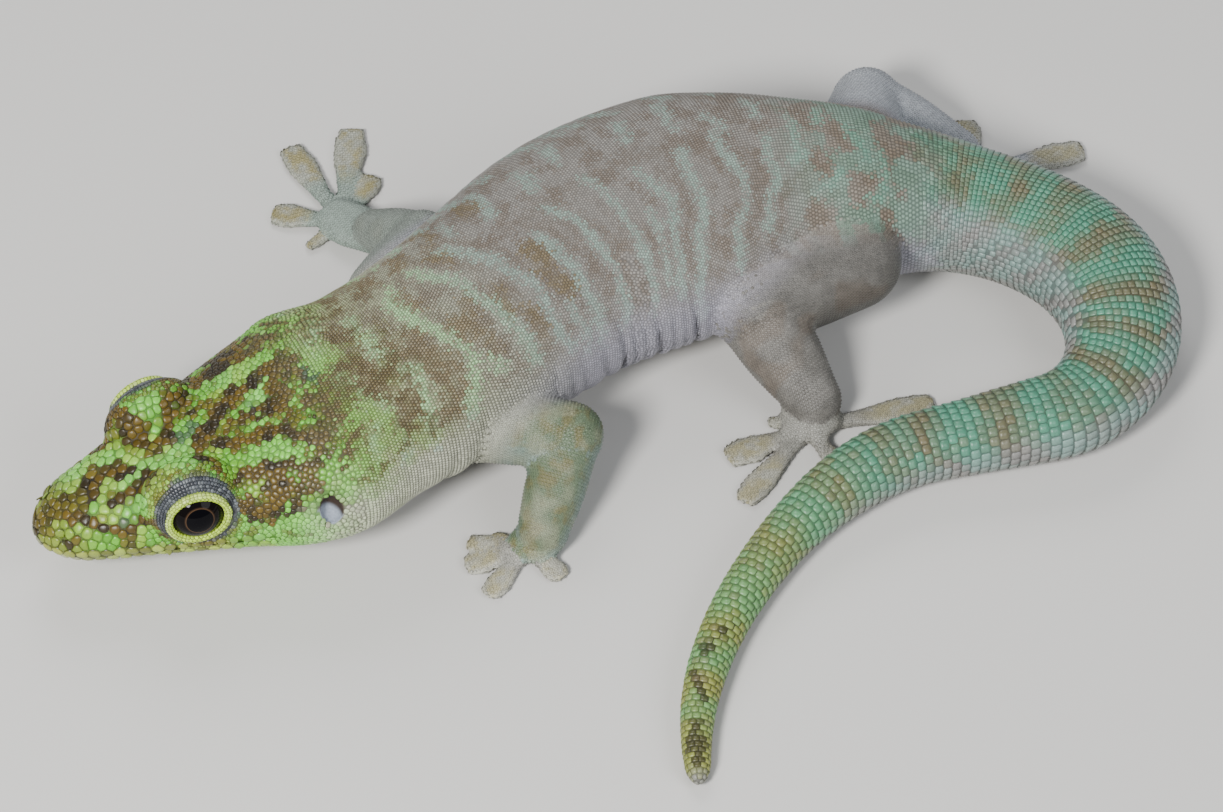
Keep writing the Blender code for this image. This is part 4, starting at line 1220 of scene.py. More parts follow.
def strokeGap(flat, strokes, around=3.0):
    # Distance past the edge of the nearest stroke, negative inside it: the distance to
    # each straight run is |p - a - t(b - a)| with t held between 0 and 1.
    gap = np.full(len(flat), around)
    for width, *line in strokes:
        line = np.array(line, float)
        margin = around + width
        mine = np.flatnonzero(((flat > line.min(0) - margin) & (flat < line.max(0) + margin)).all(1))
        if not len(mine):
            continue
        start, run = line[None, :-1], (line[1:] - line[:-1])[None]
        offset = flat[mine][:, None] - start
        t = np.clip((offset * run).sum(2) / np.maximum((run**2).sum(2), 1e-9), 0, 1)
        away = np.linalg.norm(offset - run * t[..., None], axis=2).min(1)
        gap[mine] = np.minimum(gap[mine], away - width / 2)
    return gap


def strokeCover(flat, strokes):
    # 1 inside the strokes and 0 outside, with a soft edge.
    return 1 - fadeIn(strokeGap(flat, strokes, 0.5), -0.2, 0.25)


def roughened(flat, size, amount, seed):
    # Places shifted by noise, so that what is drawn on them has a ragged edge.
    return flat + amount * np.stack([softNoise(flat, size, seed + k) - 0.5 for k in (0, 1)], -1)


def paintHead(points, s, h, v, flat, fine, broad):
    # Leaf green under drawn brown marks, with paler cheeks and a grey-green chin.
    one = np.ones(len(s))[:, None]
    rough = roughened(flat, 1.1, 1.0, 61)
    head = blend(colours["leaf"] * one, colours["leafPale"], (broad - 0.3) * 1.5)
    golden = fadeIn(softNoise(points, 2.6, 66), 0.5, 0.75) * (1 - fadeIn(s, 23, 28))
    head = blend(head, colours["leafGold"], golden * 0.5)
    head = blend(head, colours["neckTop"], fadeIn(s, 27, 36) * 0.6)
    head = blend(head, colours["olive"], (1 - fadeIn(s, 1, 7)) * 0.8)
    brown = strokeCover(rough, marks["headBrown"])
    mirrored = strokeCover(rough * [1, -1] + [0.6, 0], marks["headBrown"]) * fadeIn(-v, 4, 6)
    spots = fadeIn(softNoise(rough, 1.7, 33), 0.66, 0.74) * fadeIn(h, -0.2, 0.2)
    brown = np.maximum(np.maximum(brown, mirrored), spots * 0.9)
    nose = (1 - fadeIn(s, 1.5, 6)) * fadeIn(softNoise(rough, 1.0, 34), 0.4, 0.6)
    brown = np.maximum(brown, nose * 0.7) * (1 - 0.5 * fadeIn(s, 27, 33))
    head = blend(head, colours["amber"], brown)
    head = blend(head, colours["umber"], brown * fadeIn(fine, 0.4, 0.75))
    head = blend(head, colours["slate"], strokeCover(flat, marks["headSlate"]) * 0.8)
    # the cheek and the side of the neck pale to cream granules
    cheek = fadeIn(s, 24, 31) * (1 - fadeIn(h, 0.1, 0.5))
    head = blend(head, colours["cream"], cheek * 0.8)
    head = blend(head, colours["chin"], fadeIn(-h, 0.3, 0.55) * 0.85)
    # two rows of lip scales, with dark bars
    lip = fadeIn(0.06 - h, 0, 0.1) * (1 - fadeIn(-h, 0.4, 0.55)) * (1 - fadeIn(s, 17, 20))
    head = blend(head, colours["labial"], lip * 0.8)
    bars = fadeIn(np.cos(2 * np.pi * s / 3.1), 0.3, 0.7)
    return blend(head, colours["labialBar"], lip * bars * 0.6)


def paintEyeRings(rgb, points, s, fine):
    # The ring of slate granules is widest above the eye, speckled, and its rim is
    # ragged and passes through small brown granules.
    reach, out = eyeReach(points)
    near = (s < 24) & (out > -1.4)
    above = np.clip((points[:, 2] - eyes[0]["centre"][2]) / np.maximum(reach, 1), -1, 1)
    edge = reach + 0.5 * (fine - 0.5) - 0.35 * above
    speckle = softNoise(points, 0.33, 63)
    brown = np.where(near, 1 - fadeIn(edge, 4.5, 5.2), 0.0) * fadeIn(speckle + fine, 0.7, 1.1)
    rgb = blend(rgb, colours["amber"], brown * 0.8)
    ring = np.where(near, 1 - fadeIn(edge, 4.05, 4.5), 0.0)
    rgb = blend(rgb, colours["slate"], ring)
    rgb = blend(rgb, colours["slatePale"], ring * fadeIn(speckle, 0.45, 0.85) * 0.7)
    lid = np.where(near, 1 - fadeIn(reach, 3.42, 3.48), 0.0)
    rgb = blend(rgb, colours["lidGreen"], lid)
    return blend(rgb, colours["lidPale"], lid * fadeIn(reach, 2.9, 3.3) * fadeIn(speckle, 0.2, 0.7) * 0.7)


def paintTrunk(points, s, turn, v, flat, broad):
    # Lavender flanks and a grey-brown back, crossed by mint lines with brown beside
    # them, and a rump that turns green.
    h = np.sin(turn)
    one = np.ones(len(s))[:, None]
    rough = roughened(roughened(flat, 2.2, 1.0, 71), 0.8, 0.6, 77)
    back = fadeIn(h, 0.05, 0.6)
    front = 1 - fadeIn(s, 42, 58)
    trunk = blend(colours["lavender"] * one, colours["mist"], back)
    trunk = blend(trunk, colours["granule"], front * 0.75)
    trunk = blend(trunk, colours["neckTop"], (1 - fadeIn(s, 30, 48)) * back * (0.5 + 0.5 * broad))
    trunk = blend(trunk, colours["cream"], (1 - fadeIn(s, 36, 46)) * (1 - back) * 0.7)
    # mint lines across the body; brown runs along them and breaks up between them
    strokes = marks["neckLines"] + marks["backLines"] + marks["farLines"]
    here = strokeGap(rough, strokes)
    there = strokeGap(rough * [1, -1] + [1.1, 0], strokes) + 3 * (1 - fadeIn(-v, 7, 9))
    gap = np.minimum(here, there)
    patchy = softNoise(roughened(flat, 1.6, 1.4, 91), 1.5, 73)
    beside = np.exp(-(((gap - 0.9) / 0.55) ** 2)) * fadeIn(patchy, 0.25, 0.75)
    between = fadeIn(softNoise(rough * [1, 0.7], 1.15, 74), 0.56, 0.8) * fadeIn(gap, 0.2, 0.8)
    bars = np.maximum(beside, between) * fadeIn(h, 0.15, 0.65)
    trunk = blend(trunk, colours["taupe"], bars * 0.72)
    blobs = strokeCover(rough, marks["neckBrown"])
    blobs = np.maximum(blobs, strokeCover(rough * [1, -1], marks["neckBrown"]) * fadeIn(-v, 4, 6))
    blobs = blobs * (0.45 + 0.55 * fadeIn(softNoise(points, 0.5, 79), 0.25, 0.6))
    trunk = blend(trunk, colours["neckBrown"], blobs * 0.9)
    spine = np.exp(-(((v + 0.8 + 0.8 * (broad - 0.5)) / 0.45) ** 2))
    spine = spine * fadeIn(s, 50, 56) * (1 - fadeIn(s, 80, 90))
    trunk = blend(trunk, colours["taupe"], spine * 0.5)
    line = 1 - fadeIn(gap, -0.5, 0.35)
    lineTone = blend(colours["neckLine"] * one, colours["mint"], fadeIn(s, 44, 54))
    lineTone = blend(lineTone, colours["flankLine"], 1 - back)
    trunk = trunk + (lineTone - trunk) * (line * 0.88)[:, None]
    trunk = blend(trunk, colours["belly"], fadeIn(-h, 0.5, 0.9) * 0.9)
    rump = fadeIn(s, 86, 100) * fadeIn(h, 0.0, 0.5)
    patches = fadeIn(softNoise(rough * [0.55, 0.36], 1.0, 75), 0.45, 0.62)
    trunk = blend(trunk, colours["rumpBrown"], rump * (1 - patches) * 0.5)
    trunk = blend(trunk, colours["rumpGreen"], rump * np.maximum(patches * 0.55, line * 0.9))
    # painted shade: the flank is darkened by up to 0.4 in the grooves of its pleats
    groove, slack = pleatGrooves(s, turn)
    return trunk * (1 - 0.4 * slack * groove)[:, None]


def paintTail(points, s, h, v, flat):
    # Green and brown bands that fade down the sides, with dark marks near the tip.
    places, strengths = np.array(tailBands).T
    wave = softNoise(flat, 3.2, 81) - 0.5
    band = np.interp(s + 1.5 * wave + 0.06 * v * v, places, strengths)
    band = band * (0.45 + 0.55 * fadeIn(s, 116, 134)) + 0.9 * (softNoise(points, 1.1, 82) - 0.5)
    green = fadeIn(band, -0.9, 0.7)
    late = fadeIn(s, 165, 200)
    ground = colours["bandBrown"] + (colours["tailOlive"] - colours["bandBrown"]) * late[:, None]
    leaf = colours["bandGreen"] + (colours["tailLeaf"] - colours["bandGreen"]) * late[:, None]
    side = 1 - fadeIn(np.abs(v), 3.0, 6.5) * 0.45
    tail = blend(ground, leaf, green * 0.95 + 0.1 * late)
    tail = blend(tail, colours["lavender"], (1 - side) * (1 - late))
    tail = blend(tail, colours["legPale"], fadeIn(-h, 0.0, 0.5) * 0.7)
    rough = roughened(flat, 0.8, 0.9, 83)
    tail = blend(tail, colours["tailDark"], strokeCover(rough, marks["tailDark"]) * 0.85)
    flecks = fadeIn(softNoise(points, 0.9, 85), 0.7, 0.8) * fadeIn(h, 0.3, 0.8)
    tail = blend(tail, colours["neckBrown"], flecks * 0.4)
    return blend(tail, colours["tailTip"], fadeIn(s, 215.4, 217.0))


def girth(s):
    # The body's mean radius, which turns an angle round it into millimetres.
    return np.interp(s, stations[:, 0], (stations[:, 3] / 2 + stations[:, 4]) / 2)


def paintBody(points, s, turn):
    # Head, trunk and tail, each passing into the next; v is how far round from the
    # middle of the back a place lies, in millimetres.
    h = np.sin(turn)
    v = ((turn - np.pi / 2 + np.pi) % (2 * np.pi) - np.pi) * girth(s)
    flat = np.stack([s, v], -1)
    fine, broad = softNoise(points, 0.9, 2), softNoise(points, 4.5, 4)
    wander = softNoise(flat, 2.2, 5) - 0.5
    rgb = paintHead(points, s, h, v, flat, fine, broad)
    neck = fadeIn(s + wander * 9 + (fine - 0.5) * 6, 28, 39)
    rgb = blend(rgb, paintTrunk(points, s, turn, v, flat, broad), neck)
    # brown spots of the nape, drawn over the change from head to trunk
    rough = roughened(flat, 1.1, 1.0, 61)
    nape = marks["headBrown"] + marks["neckBrown"]
    farSpots = strokeCover(rough * [1, -1] + [0.8, 0], nape) * fadeIn(-v, 3, 5)
    spots = np.maximum(strokeCover(rough, nape), farSpots)
    spots = np.maximum(spots, fadeIn(softNoise(rough, 1.25, 37), 0.66, 0.74) * 0.9)
    spots = spots * fadeIn(s, 26, 29) * (1 - fadeIn(s, 38, 44)) * fadeIn(h, 0.15, 0.5)
    speckle = fadeIn(softNoise(points, 0.6, 38), 0.3, 0.6)
    rgb = blend(rgb, colours["napeBrown"], spots * (0.35 + 0.6 * speckle))
    rgb = blend(rgb, paintTail(points, s, h, v, flat), fadeIn(s + wander * 3, 104, 110))
    return paintEyeRings(rgb, points, s, fine)


def limbTable(key):
    # One fact about each limb, as an array.
    return np.array([key(limb) for limb in allLimbs])


def paintLimbs(points, part, s, turn):
    # Warm grey legs, an olive near arm, paler far legs, and toes with cream pads.
    number = np.maximum(part - 1, 0)
    kinds = limbTable(lambda limb: limb["kind"])[number]
    leg = limbTable(lambda limb: limb["leg"])[number]
    share = s / limbTable(lambda limb: limb["long"])[number]
    h = np.sin(turn)
    one = np.ones(len(s))[:, None]
    full = one[:, 0]
    top = fadeIn(h, 0.0, 0.75)
    rgb = blend(colours["leg"] * one, colours["legPale"], softNoise(points, 1.6, 51) * 1.6 - 0.4)
    rgb = blend(rgb, colours["taupe"], fadeIn(softNoise(points, 2.4, 52), 0.6, 0.8) * 0.45)
    rgb = rgb * (0.85 + 0.3 * softNoise(points, 0.8, 56))[:, None]
    # painted shade: the upper part of the near hind leg is a quarter darker
    rgb = rgb * np.where((leg == legNames.index("hindLeft")) & (kinds == "upper"), 0.75, 1.0)[:, None]
    foot = np.isin(kinds, ["palm", "toe"])
    rgb = np.where(foot[:, None], blend(rgb, colours["foot"], 0.75 * full), rgb)
    arm = (leg == legNames.index("frontLeft")) & (kinds != "toe")
    mottle = softNoise(points, 1.3, 53) * 0.6 + softNoise(points, 0.6, 54) * 0.4
    olive = blend(colours["armEdge"] * one, colours["forearm"], top)
    olive = blend(olive, colours["forearmGold"], top * fadeIn(mottle, 0.45, 0.7) * 0.8)
    olive = blend(olive, colours["granule"], fadeIn(softNoise(points, 1.7, 55), 0.5, 0.8) * 0.5)
    rgb = np.where(arm[:, None], olive, rgb)
    pale = (leg == legNames.index("hindRight")) * 0.85
    rgb = blend(rgb, colours["flankLine"], pale * full)
    far = leg == legNames.index("frontRight")
    rgb = np.where(far[:, None], blend(rgb, colours["handPale"], (0.5 + 0.35 * foot) * full), rgb)
    pad = (kinds == "toe") * fadeIn(share, 0.4, 0.6)
    rgb = blend(rgb, colours["padCream"], pad * 0.8)
    centre = (kinds == "toe") * fadeIn(h, 0.55, 0.95) * fadeIn(share, 0.3, 0.6)
    rgb = blend(rgb, colours["padCentre"], centre * np.where(far, 0.75, 0.5) * fadeIn(mottle, 0.3, 0.6))
    nearHand = foot & (leg == legNames.index("frontLeft"))
    return rgb * np.where(nearHand, 1.22, 1.0)[:, None]


upperLimbs = [part for part, limb in enumerate(allLimbs, 1) if limb["kind"] == "upper"]
bodySamples = np.flatnonzero(sampleParts == 0)


def paintAt(points, part, s, turn):
    # A leg takes up the body's tones where it grows out of it.
    rgb = np.empty((len(points), 3))
    body, legs = np.flatnonzero(part == 0), np.flatnonzero(part > 0)
    rgb[body] = paintBody(points[body], s[body], turn[body])
    rgb[legs] = paintLimbs(points[legs], part[legs], s[legs], turn[legs])
    root = np.flatnonzero(np.isin(part, upperLimbs))
    nearest = nearestOf(points[root], samplePlaces[bodySamples], 3.2)
    root, nearest = root[nearest >= 0], bodySamples[nearest[nearest >= 0]]
    away = np.linalg.norm(points[root] - samplePlaces[nearest], axis=1)
    trunk = paintBody(points[root], sampleAlongs[nearest], sampleTurns[nearest])
    rgb[root] = blend(trunk, rgb[root], fadeIn(away, 0.5, 3.2))
    return rgb


# Scale meshes

def alongAt(part, s):
    # Which way each site's own part runs.
    _, along, _ = middleLine(np.where(part == 0, s, 0.0))
    ways = np.array([[1.0, 0, 0]] + [
        (limb["path"][-1] - limb["path"][0]) / np.linalg.norm(limb["path"][-1] - limb["path"][0])
        for limb in allLimbs
    ])
    return np.where((part == 0)[:, None], along, ways[part])


def siteFrames():
    # Two axes in the skin at each site: along its part, and across.
    along = alongAt(sitePart, siteAlong)
    first = along - siteNormals * (along * siteNormals).sum(1)[:, None]
    first /= np.maximum(np.linalg.norm(first, axis=1), 1e-6)[:, None]
    return first, np.cross(siteNormals, first)


siteFirst, siteSecond = siteFrames()


def scaleOutlines(mine, directions, square):
    # How far each scale reaches in each direction: half way to the nearest neighbour's
    # middle, as a cell of a Voronoi net. Square scales measure half way along their own
    # two axes instead, which makes courses like a wall's bricks.
    points, sizes = sitePoints[mine], siteSizes[mine]
    i, j = nearbyPairs(points, sitePoints, sizes.max() * 1.9)
    apart = mine[i] != j
    i, j = i[apart], j[apart]
    step = sitePoints[j] - points[i]
    length = np.linalg.norm(step, axis=1)
    near = length < 1.9 * sizes[i]
    i, j, step, length = i[near], j[near], step[near], length[near]
    a = (step * siteFirst[mine[i]]).sum(1)
    b = (step * siteSecond[mine[i]]).sum(1)
    share = sizes[i] / (sizes[i] + siteSizes[j])
    bearing = np.arctan2(b, a)
    endways = np.abs(a) > 0.8 * np.abs(b)
    if square:
        bearing = np.where(endways, np.where(a > 0, 0, np.pi), np.where(b > 0, np.pi / 2, -np.pi / 2))
        length = np.where(endways, np.abs(a), np.abs(b))
    outline = np.repeat(sizes[:, None] * scaleForm["widest"], len(directions), 1)
    for k, direction in enumerate(directions):
        cosine = np.cos(direction - bearing)
        bound = np.where(cosine > 0.25, share * length / np.maximum(cosine, 0.25), 9.0)
        np.minimum.at(outline[:, k], i, bound)
    return np.maximum(outline, sizes[:, None] * 0.22)


def bakePlace(part, s, turn):
    # The root's place on an unwrap of the body: the long tube above, the limbs in
    # rows of boxes below.
    n = np.maximum(part - 1, 0)
    long = np.array([limb["long"] for limb in allLimbs])[n]
    around = turn / (2 * np.pi)
    body = np.stack([0.02 + 0.96 * s / bodyLong, 0.42 + 0.56 * around], 1)
    across = (n % 8) / 8 + 0.01 + 0.1 * np.clip(s / long, 0, 1)
    limb = np.stack([across, (n // 8) * 0.1 + 0.01 + 0.08 * around], 1)
    return np.where((part == 0)[:, None], body, limb)


# By distance from the snout: how far off a scale's colour is taken, in millimetres,
# and how much lighter or darker it may be.
coatLook = {
    "wayOff": ([0, 12, 24, 32, 60, 110, 140], [0.2, 0.5, 0.8, 1.6, 1.3, 1.3, 0.8]),
    "uneven": ([0, 28, 34, 50, 60, 110, 120], [0.44, 0.44, 0.4, 0.4, 0.32, 0.3, 0.2]),
    "unevenLegs": 0.34,
    "mingle": 6.0,  # over how many millimetres two kinds of scale mix where they meet
}


def siteTints():
    # Each scale takes its colour from a place a little off its own, so that the edges
    # of the markings are ragged, and is a little darker or lighter than its marking.
    wayOff, uneven = coatLook["wayOff"], coatLook["uneven"]
    off = (draw.random((len(sitePoints), 2)) - 0.5) * np.interp(siteAlong, *wayOff)[:, None]
    off *= (sitePart == 0)[:, None]
    turned = siteTurn + off[:, 1] / np.maximum(girth(siteAlong), 1.5)
    tints = paintAt(sitePoints, sitePart, siteAlong + off[:, 0], turned)
    luck = draw.random(len(sitePoints)) - 0.5
    share = np.where(sitePart == 0, np.interp(siteAlong, *uneven), coatLook["unevenLegs"])
    return tints * (1 + share * luck)[:, None]


siteTint = siteTints()

# Each way of making a scale: how many sides it has, its height as a share of its
# width, and its rings from the rim inwards, as reach, height and lightness; the
# lightness is painted shade, dark in the groove at the rim and lighter towards the top.
scaleShapes = {
    "plate": {"sides": 10, "raise": 0.15, "rings": ((0.98, -0.3, 0.0), (0.84, 0.6, 0.8), (0.5, 0.93, 1.0))},
    "ringed": {"sides": 8, "raise": 0.1, "rings": ((0.97, -0.5, 0.0), (0.88, 0.75, 0.9)), "corner": 0.45},
    "bead": {"sides": 7, "raise": 0.25, "rings": ((0.96, -0.3, -0.1), (0.64, 0.7, 0.75))},
    "granule": {"sides": 6, "raise": 0.24, "rings": ((0.96, -0.1, 0.34),)},
    "pebble": {"sides": 6, "raise": 0.3, "rings": ((0.96, -0.1, 0.1),)},
}


def buildScales(name, mine, shape):
    # Each scale is a low dome of rings, the first sunk in the skin, round a middle point.
    sides, rings = scaleShapes[shape]["sides"], scaleShapes[shape]["rings"]
    count, levels = len(mine), len(rings)
    directions = (np.arange(sides) + 0.5) * 2 * np.pi / sides
    corner = scaleShapes[shape].get("corner", 0.0)
    directions = directions + corner * np.sin(4 * directions) * np.radians(22.5)
    outline = scaleOutlines(mine, directions, corner > 0)
    high = scaleShapes[shape]["raise"] * outline.mean(1) * 2
    tail = fadeIn(siteAlong[mine], 106, 114) * (sitePart[mine] == 0)
    lean = 0.03 + 0.13 * tail
    layers = []
    for reach, height, _ in rings:
        a = outline * reach * np.cos(directions)
        b = outline * reach * np.sin(directions)
        up = high[:, None] * height + (a * lean[:, None] if height > 0 else 0)
        layers.append(
            sitePoints[mine][:, None]
            + siteFirst[mine][:, None] * a[..., None]
            + siteSecond[mine][:, None] * b[..., None]
            + siteNormals[mine][:, None] * up[..., None]
        )
    middle = sitePoints[mine] + siteNormals[mine] * high[:, None]
    points = np.concatenate([*layers, middle[:, None]], 1)
    each = levels * sides + 1
    k = np.arange(sides)
    k2 = (k + 1) % sides
    pattern = [np.stack([each - 1 - sides + k, each - 1 - sides + k2, np.full(sides, each - 1)], 1)]
    for level in range(levels - 1):
        low, high = level * sides, (level + 1) * sides
        pattern.append(np.stack([low + k, low + k2, high + k2], 1))
        pattern.append(np.stack([low + k, high + k2, high + k], 1))
    pattern = np.concatenate(pattern)
    faces = (pattern[None] + (np.arange(count) * each)[:, None, None]).reshape(-1, 3)
    piece = makeObject(name, points.reshape(-1, 3), faces)
    mesh = piece.data
    # painted shade: each ring's lightness goes to the tint's alpha, and the finish darkens the scale by it
    # towards the rim
    rise = np.tile(np.concatenate([np.repeat([light for _, _, light in rings], sides), [1.0]]), count)
    colour = np.concatenate([np.repeat(siteTint[mine], each, 0), rise[:, None]], 1)
    layer = mesh.color_attributes.new("tint", "FLOAT_COLOR", "POINT")
    layer.data.foreach_set("color", colour.astype(np.float32).ravel())
    place = bakePlace(sitePart[mine], siteAlong[mine], siteTurn[mine])
    circle = np.stack([np.cos(directions), np.sin(directions)], 1)
    patch = np.concatenate([reach * circle for reach, _, _ in rings] + [np.zeros((1, 2))]) * 0.0015
    corner = place[:, None] + patch[None]
    uv = mesh.uv_layers.new(name="OFBake")
    uv.data.foreach_set("uv", corner.reshape(-1, 2)[faces.ravel()].astype(np.float32).ravel())
    mesh.materials.append(scaleFinish)
    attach(piece, "root")
    print(name, len(faces), "triangles", count, "scales")
    return piece


# Finishes

def newFinish(name):
    # A material with its nodes, links and shader.
    finish = bpy.data.materials.new(name)
    finish.use_nodes = True
    nodes = finish.node_tree.nodes
    return finish, nodes, finish.node_tree.links, nodes["Principled BSDF"]


finishForm = {
    # the groove values darken each scale towards its rim, as painted shade in the groove round it
    "mottleScale": 2600.0, "mottle": (0.72, 1.28), "grooveShade": 0.14, "grooveEdge": 0.75,
    "scaleRough": 0.38, "scaleGloss": 0.45, "bump": 0.25,
    # the grain values darken the skin between the scales, as painted shade in the gaps, and legSkin makes
    # it lighter on the legs
    "grainScale": 4200.0, "grain": (0.32, 0.62), "skinRough": 0.7, "legSkin": 2.0,
}


def makeScaleFinish():
    # Tint from the marking, darkened towards each scale's rim as painted shade in the groove round it, with
    # fine mottling.
    finish, nodes, links, shader = newFinish("scaleFinish")
    tint = nodes.new("ShaderNodeAttribute")
    tint.attribute_name = "tint"
    place = nodes.new("ShaderNodeTexCoord")
    mottle = nodes.new("ShaderNodeTexNoise")
    mottle.inputs["Scale"].default_value = finishForm["mottleScale"]
    mottle.inputs["Detail"].default_value = 3.0
    links.new(place.outputs["Object"], mottle.inputs["Vector"])
    value = nodes.new("ShaderNodeMapRange")
    value.inputs["To Min"].default_value, value.inputs["To Max"].default_value = finishForm["mottle"]
    links.new(mottle.outputs["Fac"], value.inputs["Value"])
    groove = nodes.new("ShaderNodeMapRange")
    groove.inputs["From Max"].default_value = finishForm["grooveEdge"]
    groove.inputs["To Min"].default_value = finishForm["grooveShade"]
    groove.inputs["To Max"].default_value = 1.0
    links.new(tint.outputs["Alpha"], groove.inputs["Value"])
    both = nodes.new("ShaderNodeMath")
    both.operation = "MULTIPLY"
    links.new(value.outputs["Result"], both.inputs[0])
    links.new(groove.outputs["Result"], both.inputs[1])
    scaled = nodes.new("ShaderNodeVectorMath")
    scaled.operation = "SCALE"
    links.new(tint.outputs["Color"], scaled.inputs["Vector"])
    links.new(both.outputs["Value"], scaled.inputs["Scale"])
    links.new(scaled.outputs["Vector"], shader.inputs["Base Color"])
    shader.inputs["Roughness"].default_value = finishForm["scaleRough"]
    shader.inputs["Specular IOR Level"].default_value = finishForm["scaleGloss"]
    bump = nodes.new("ShaderNodeBump")
    bump.inputs["Strength"].default_value = finishForm["bump"]
    bump.inputs["Distance"].default_value = 0.00005
    links.new(mottle.outputs["Fac"], bump.inputs["Height"])
    links.new(bump.outputs["Normal"], shader.inputs["Normal"])
    return finish


def makeSkinFinish():
    # The skin between the scales: the same marking, darker as painted shade in the gaps between the scales,
    # and drier.
    finish, nodes, links, shader = newFinish("skinFinish")
    tint = nodes.new("ShaderNodeAttribute")
    tint.attribute_name = "tint"
    place = nodes.new("ShaderNodeTexCoord")
    grain = nodes.new("ShaderNodeTexNoise")
    grain.inputs["Scale"].default_value = finishForm["grainScale"]
    grain.inputs["Detail"].default_value = 2.0
    links.new(place.outputs["Object"], grain.inputs["Vector"])
    # painted shade: the grain scales the marking down to between about a third and two thirds
    value = nodes.new("ShaderNodeMapRange")
    value.inputs["To Min"].default_value, value.inputs["To Max"].default_value = finishForm["grain"]
    links.new(grain.outputs["Fac"], value.inputs["Value"])
    scaled = nodes.new("ShaderNodeVectorMath")
    scaled.operation = "SCALE"
    links.new(tint.outputs["Color"], scaled.inputs["Vector"])
    links.new(value.outputs["Result"], scaled.inputs["Scale"])
    links.new(scaled.outputs["Vector"], shader.inputs["Base Color"])
    shader.inputs["Roughness"].default_value = finishForm["skinRough"]
    return finish


scaleFinish = makeScaleFinish()
skinFinish = makeSkinFinish()


def finishSkin():
    # The skin is the scales' own marking, lighter on the legs, with sockets painted black
    # as painted shade round the eyeballs, and ear cups dark brown above and behind, as
    # painted shade under the rim, going pale below and in front.
    tint = paintAt(skinPoints, skinPart, skinAlong, skinTurn)
    tint[skinPart > 0] *= finishForm["legSkin"]
    for eye in eyes:
        offset = skinPoints - eye["centre"]
        # painted shade: the skin of each socket, seen in the gap round the eyeball, is painted near black
        inside = np.linalg.norm(offset, axis=1) < headForm["eyeRadius"] + 0.12
        tint[inside] = colours["tailDark"] * 0.4
        centre, axes, radii = earCup(eye["hand"])
        local = (skinPoints - centre) @ axes.T / radii
        cup = (local**2).sum(1) < 1.12
        # painted shade: the cup is dark brown in its upper part, under the rim, and goes pale towards the
        # bottom
        pale = fadeIn(-local[:, 2] - 0.3 * local[:, 1], 0.0, 0.5)[cup]
        tint[cup] = blend(colours["earShadeBrown"] * np.ones((cup.sum(), 1)), colours["earPale"] * 1.6, pale)
    colour = np.concatenate([tint, np.ones((len(tint), 1))], 1)
    layer = skin.data.color_attributes.new("tint", "FLOAT_COLOR", "POINT")
    layer.data.foreach_set("color", colour.astype(np.float32).ravel())
    skin.data.materials.clear()
    skin.data.materials.append(skinFinish)
    skin.data.polygons.foreach_set("use_smooth", np.ones(len(skin.data.polygons), bool))
    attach(skin, "root")
    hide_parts(*[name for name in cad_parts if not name.startswith("eye")])


finishSkin()

limbSites = np.array([-1] + [limb["leg"] for limb in allLimbs])[sitePart]
mixed = siteAlong + (draw.random(len(sitePoints)) - 0.5) * coatLook["mingle"]


def onBody(start, end):
    return (sitePart == 0) & (mixed >= start) & (mixed < end)


coatPieces = {
    "scalesSnout": (onBody(-9, 16), "plate", "head_skin"),
    "scalesCrown": (onBody(16, 30), "plate", "head_skin"),
    "scalesNeck": (onBody(30, 50), "bead", "body_skin"),
    "scalesChest": (onBody(50, 72), "granule", "body_skin"),
    "scalesBelly": (onBody(72, 108), "granule", "body_skin"),
    "scalesTail": (onBody(108, 999), "ringed", "tail_skin"),
    "scalesFrontLegs": (np.isin(limbSites, [0, 1]), "pebble", "leg_skin"),
    "scalesHindLegs": (np.isin(limbSites, [2, 3]), "pebble", "leg_skin"),
}
for pieceName, (belongs, pieceShape, pieceSlot) in coatPieces.items():
    buildScales(pieceName, np.flatnonzero(belongs), pieceShape)


# Eyes

eyeForm = {"pupil": 26.0, "ring": 2.4, "gazeUp": 10.0, "rows": 90, "sides": 96}  # degrees


def makeEyeFinish():
    # A near-black iris with a thin copper ring round the pupil, read from the UV map,
    # where v is the share of the way from the front pole to the back.
    finish, nodes, links, shader = newFinish("eyeFinish")
    place = nodes.new("ShaderNodeUVMap")
    place.uv_map = "UVMap"
    split = nodes.new("ShaderNodeSeparateXYZ")
    links.new(place.outputs["UV"], split.inputs["Vector"])
    ramp = nodes.new("ShaderNodeValToRGB")
    edge, width = eyeForm["pupil"] / 180, eyeForm["ring"] / 180
    stops = (
        (edge - 0.004, (0.002, 0.002, 0.003)), (edge + 0.002, (0.10, 0.055, 0.028)),
        (edge + width * 0.6, (0.035, 0.02, 0.012)), (edge + width * 1.6, (0.004, 0.003, 0.003)),
        (0.30, (0.005, 0.004, 0.004)),
    )
    ramp.color_ramp.elements[0].position = 0.0
    ramp.color_ramp.elements[0].color = (0.002, 0.002, 0.003, 1)
    ramp.color_ramp.elements[1].position = stops[0][0]
    ramp.color_ramp.elements[1].color = (*stops[0][1], 1)
    for position, colour in stops[1:]:
        ramp.color_ramp.elements.new(position).color = (*colour, 1)
    links.new(split.outputs["Y"], ramp.inputs["Fac"])
    links.new(ramp.outputs["Color"], shader.inputs["Base Color"])
    shader.inputs["Roughness"].default_value = 0.06
    shader.inputs["Specular IOR Level"].default_value = 0.08
    return finish


eyeFinish = makeEyeFinish()


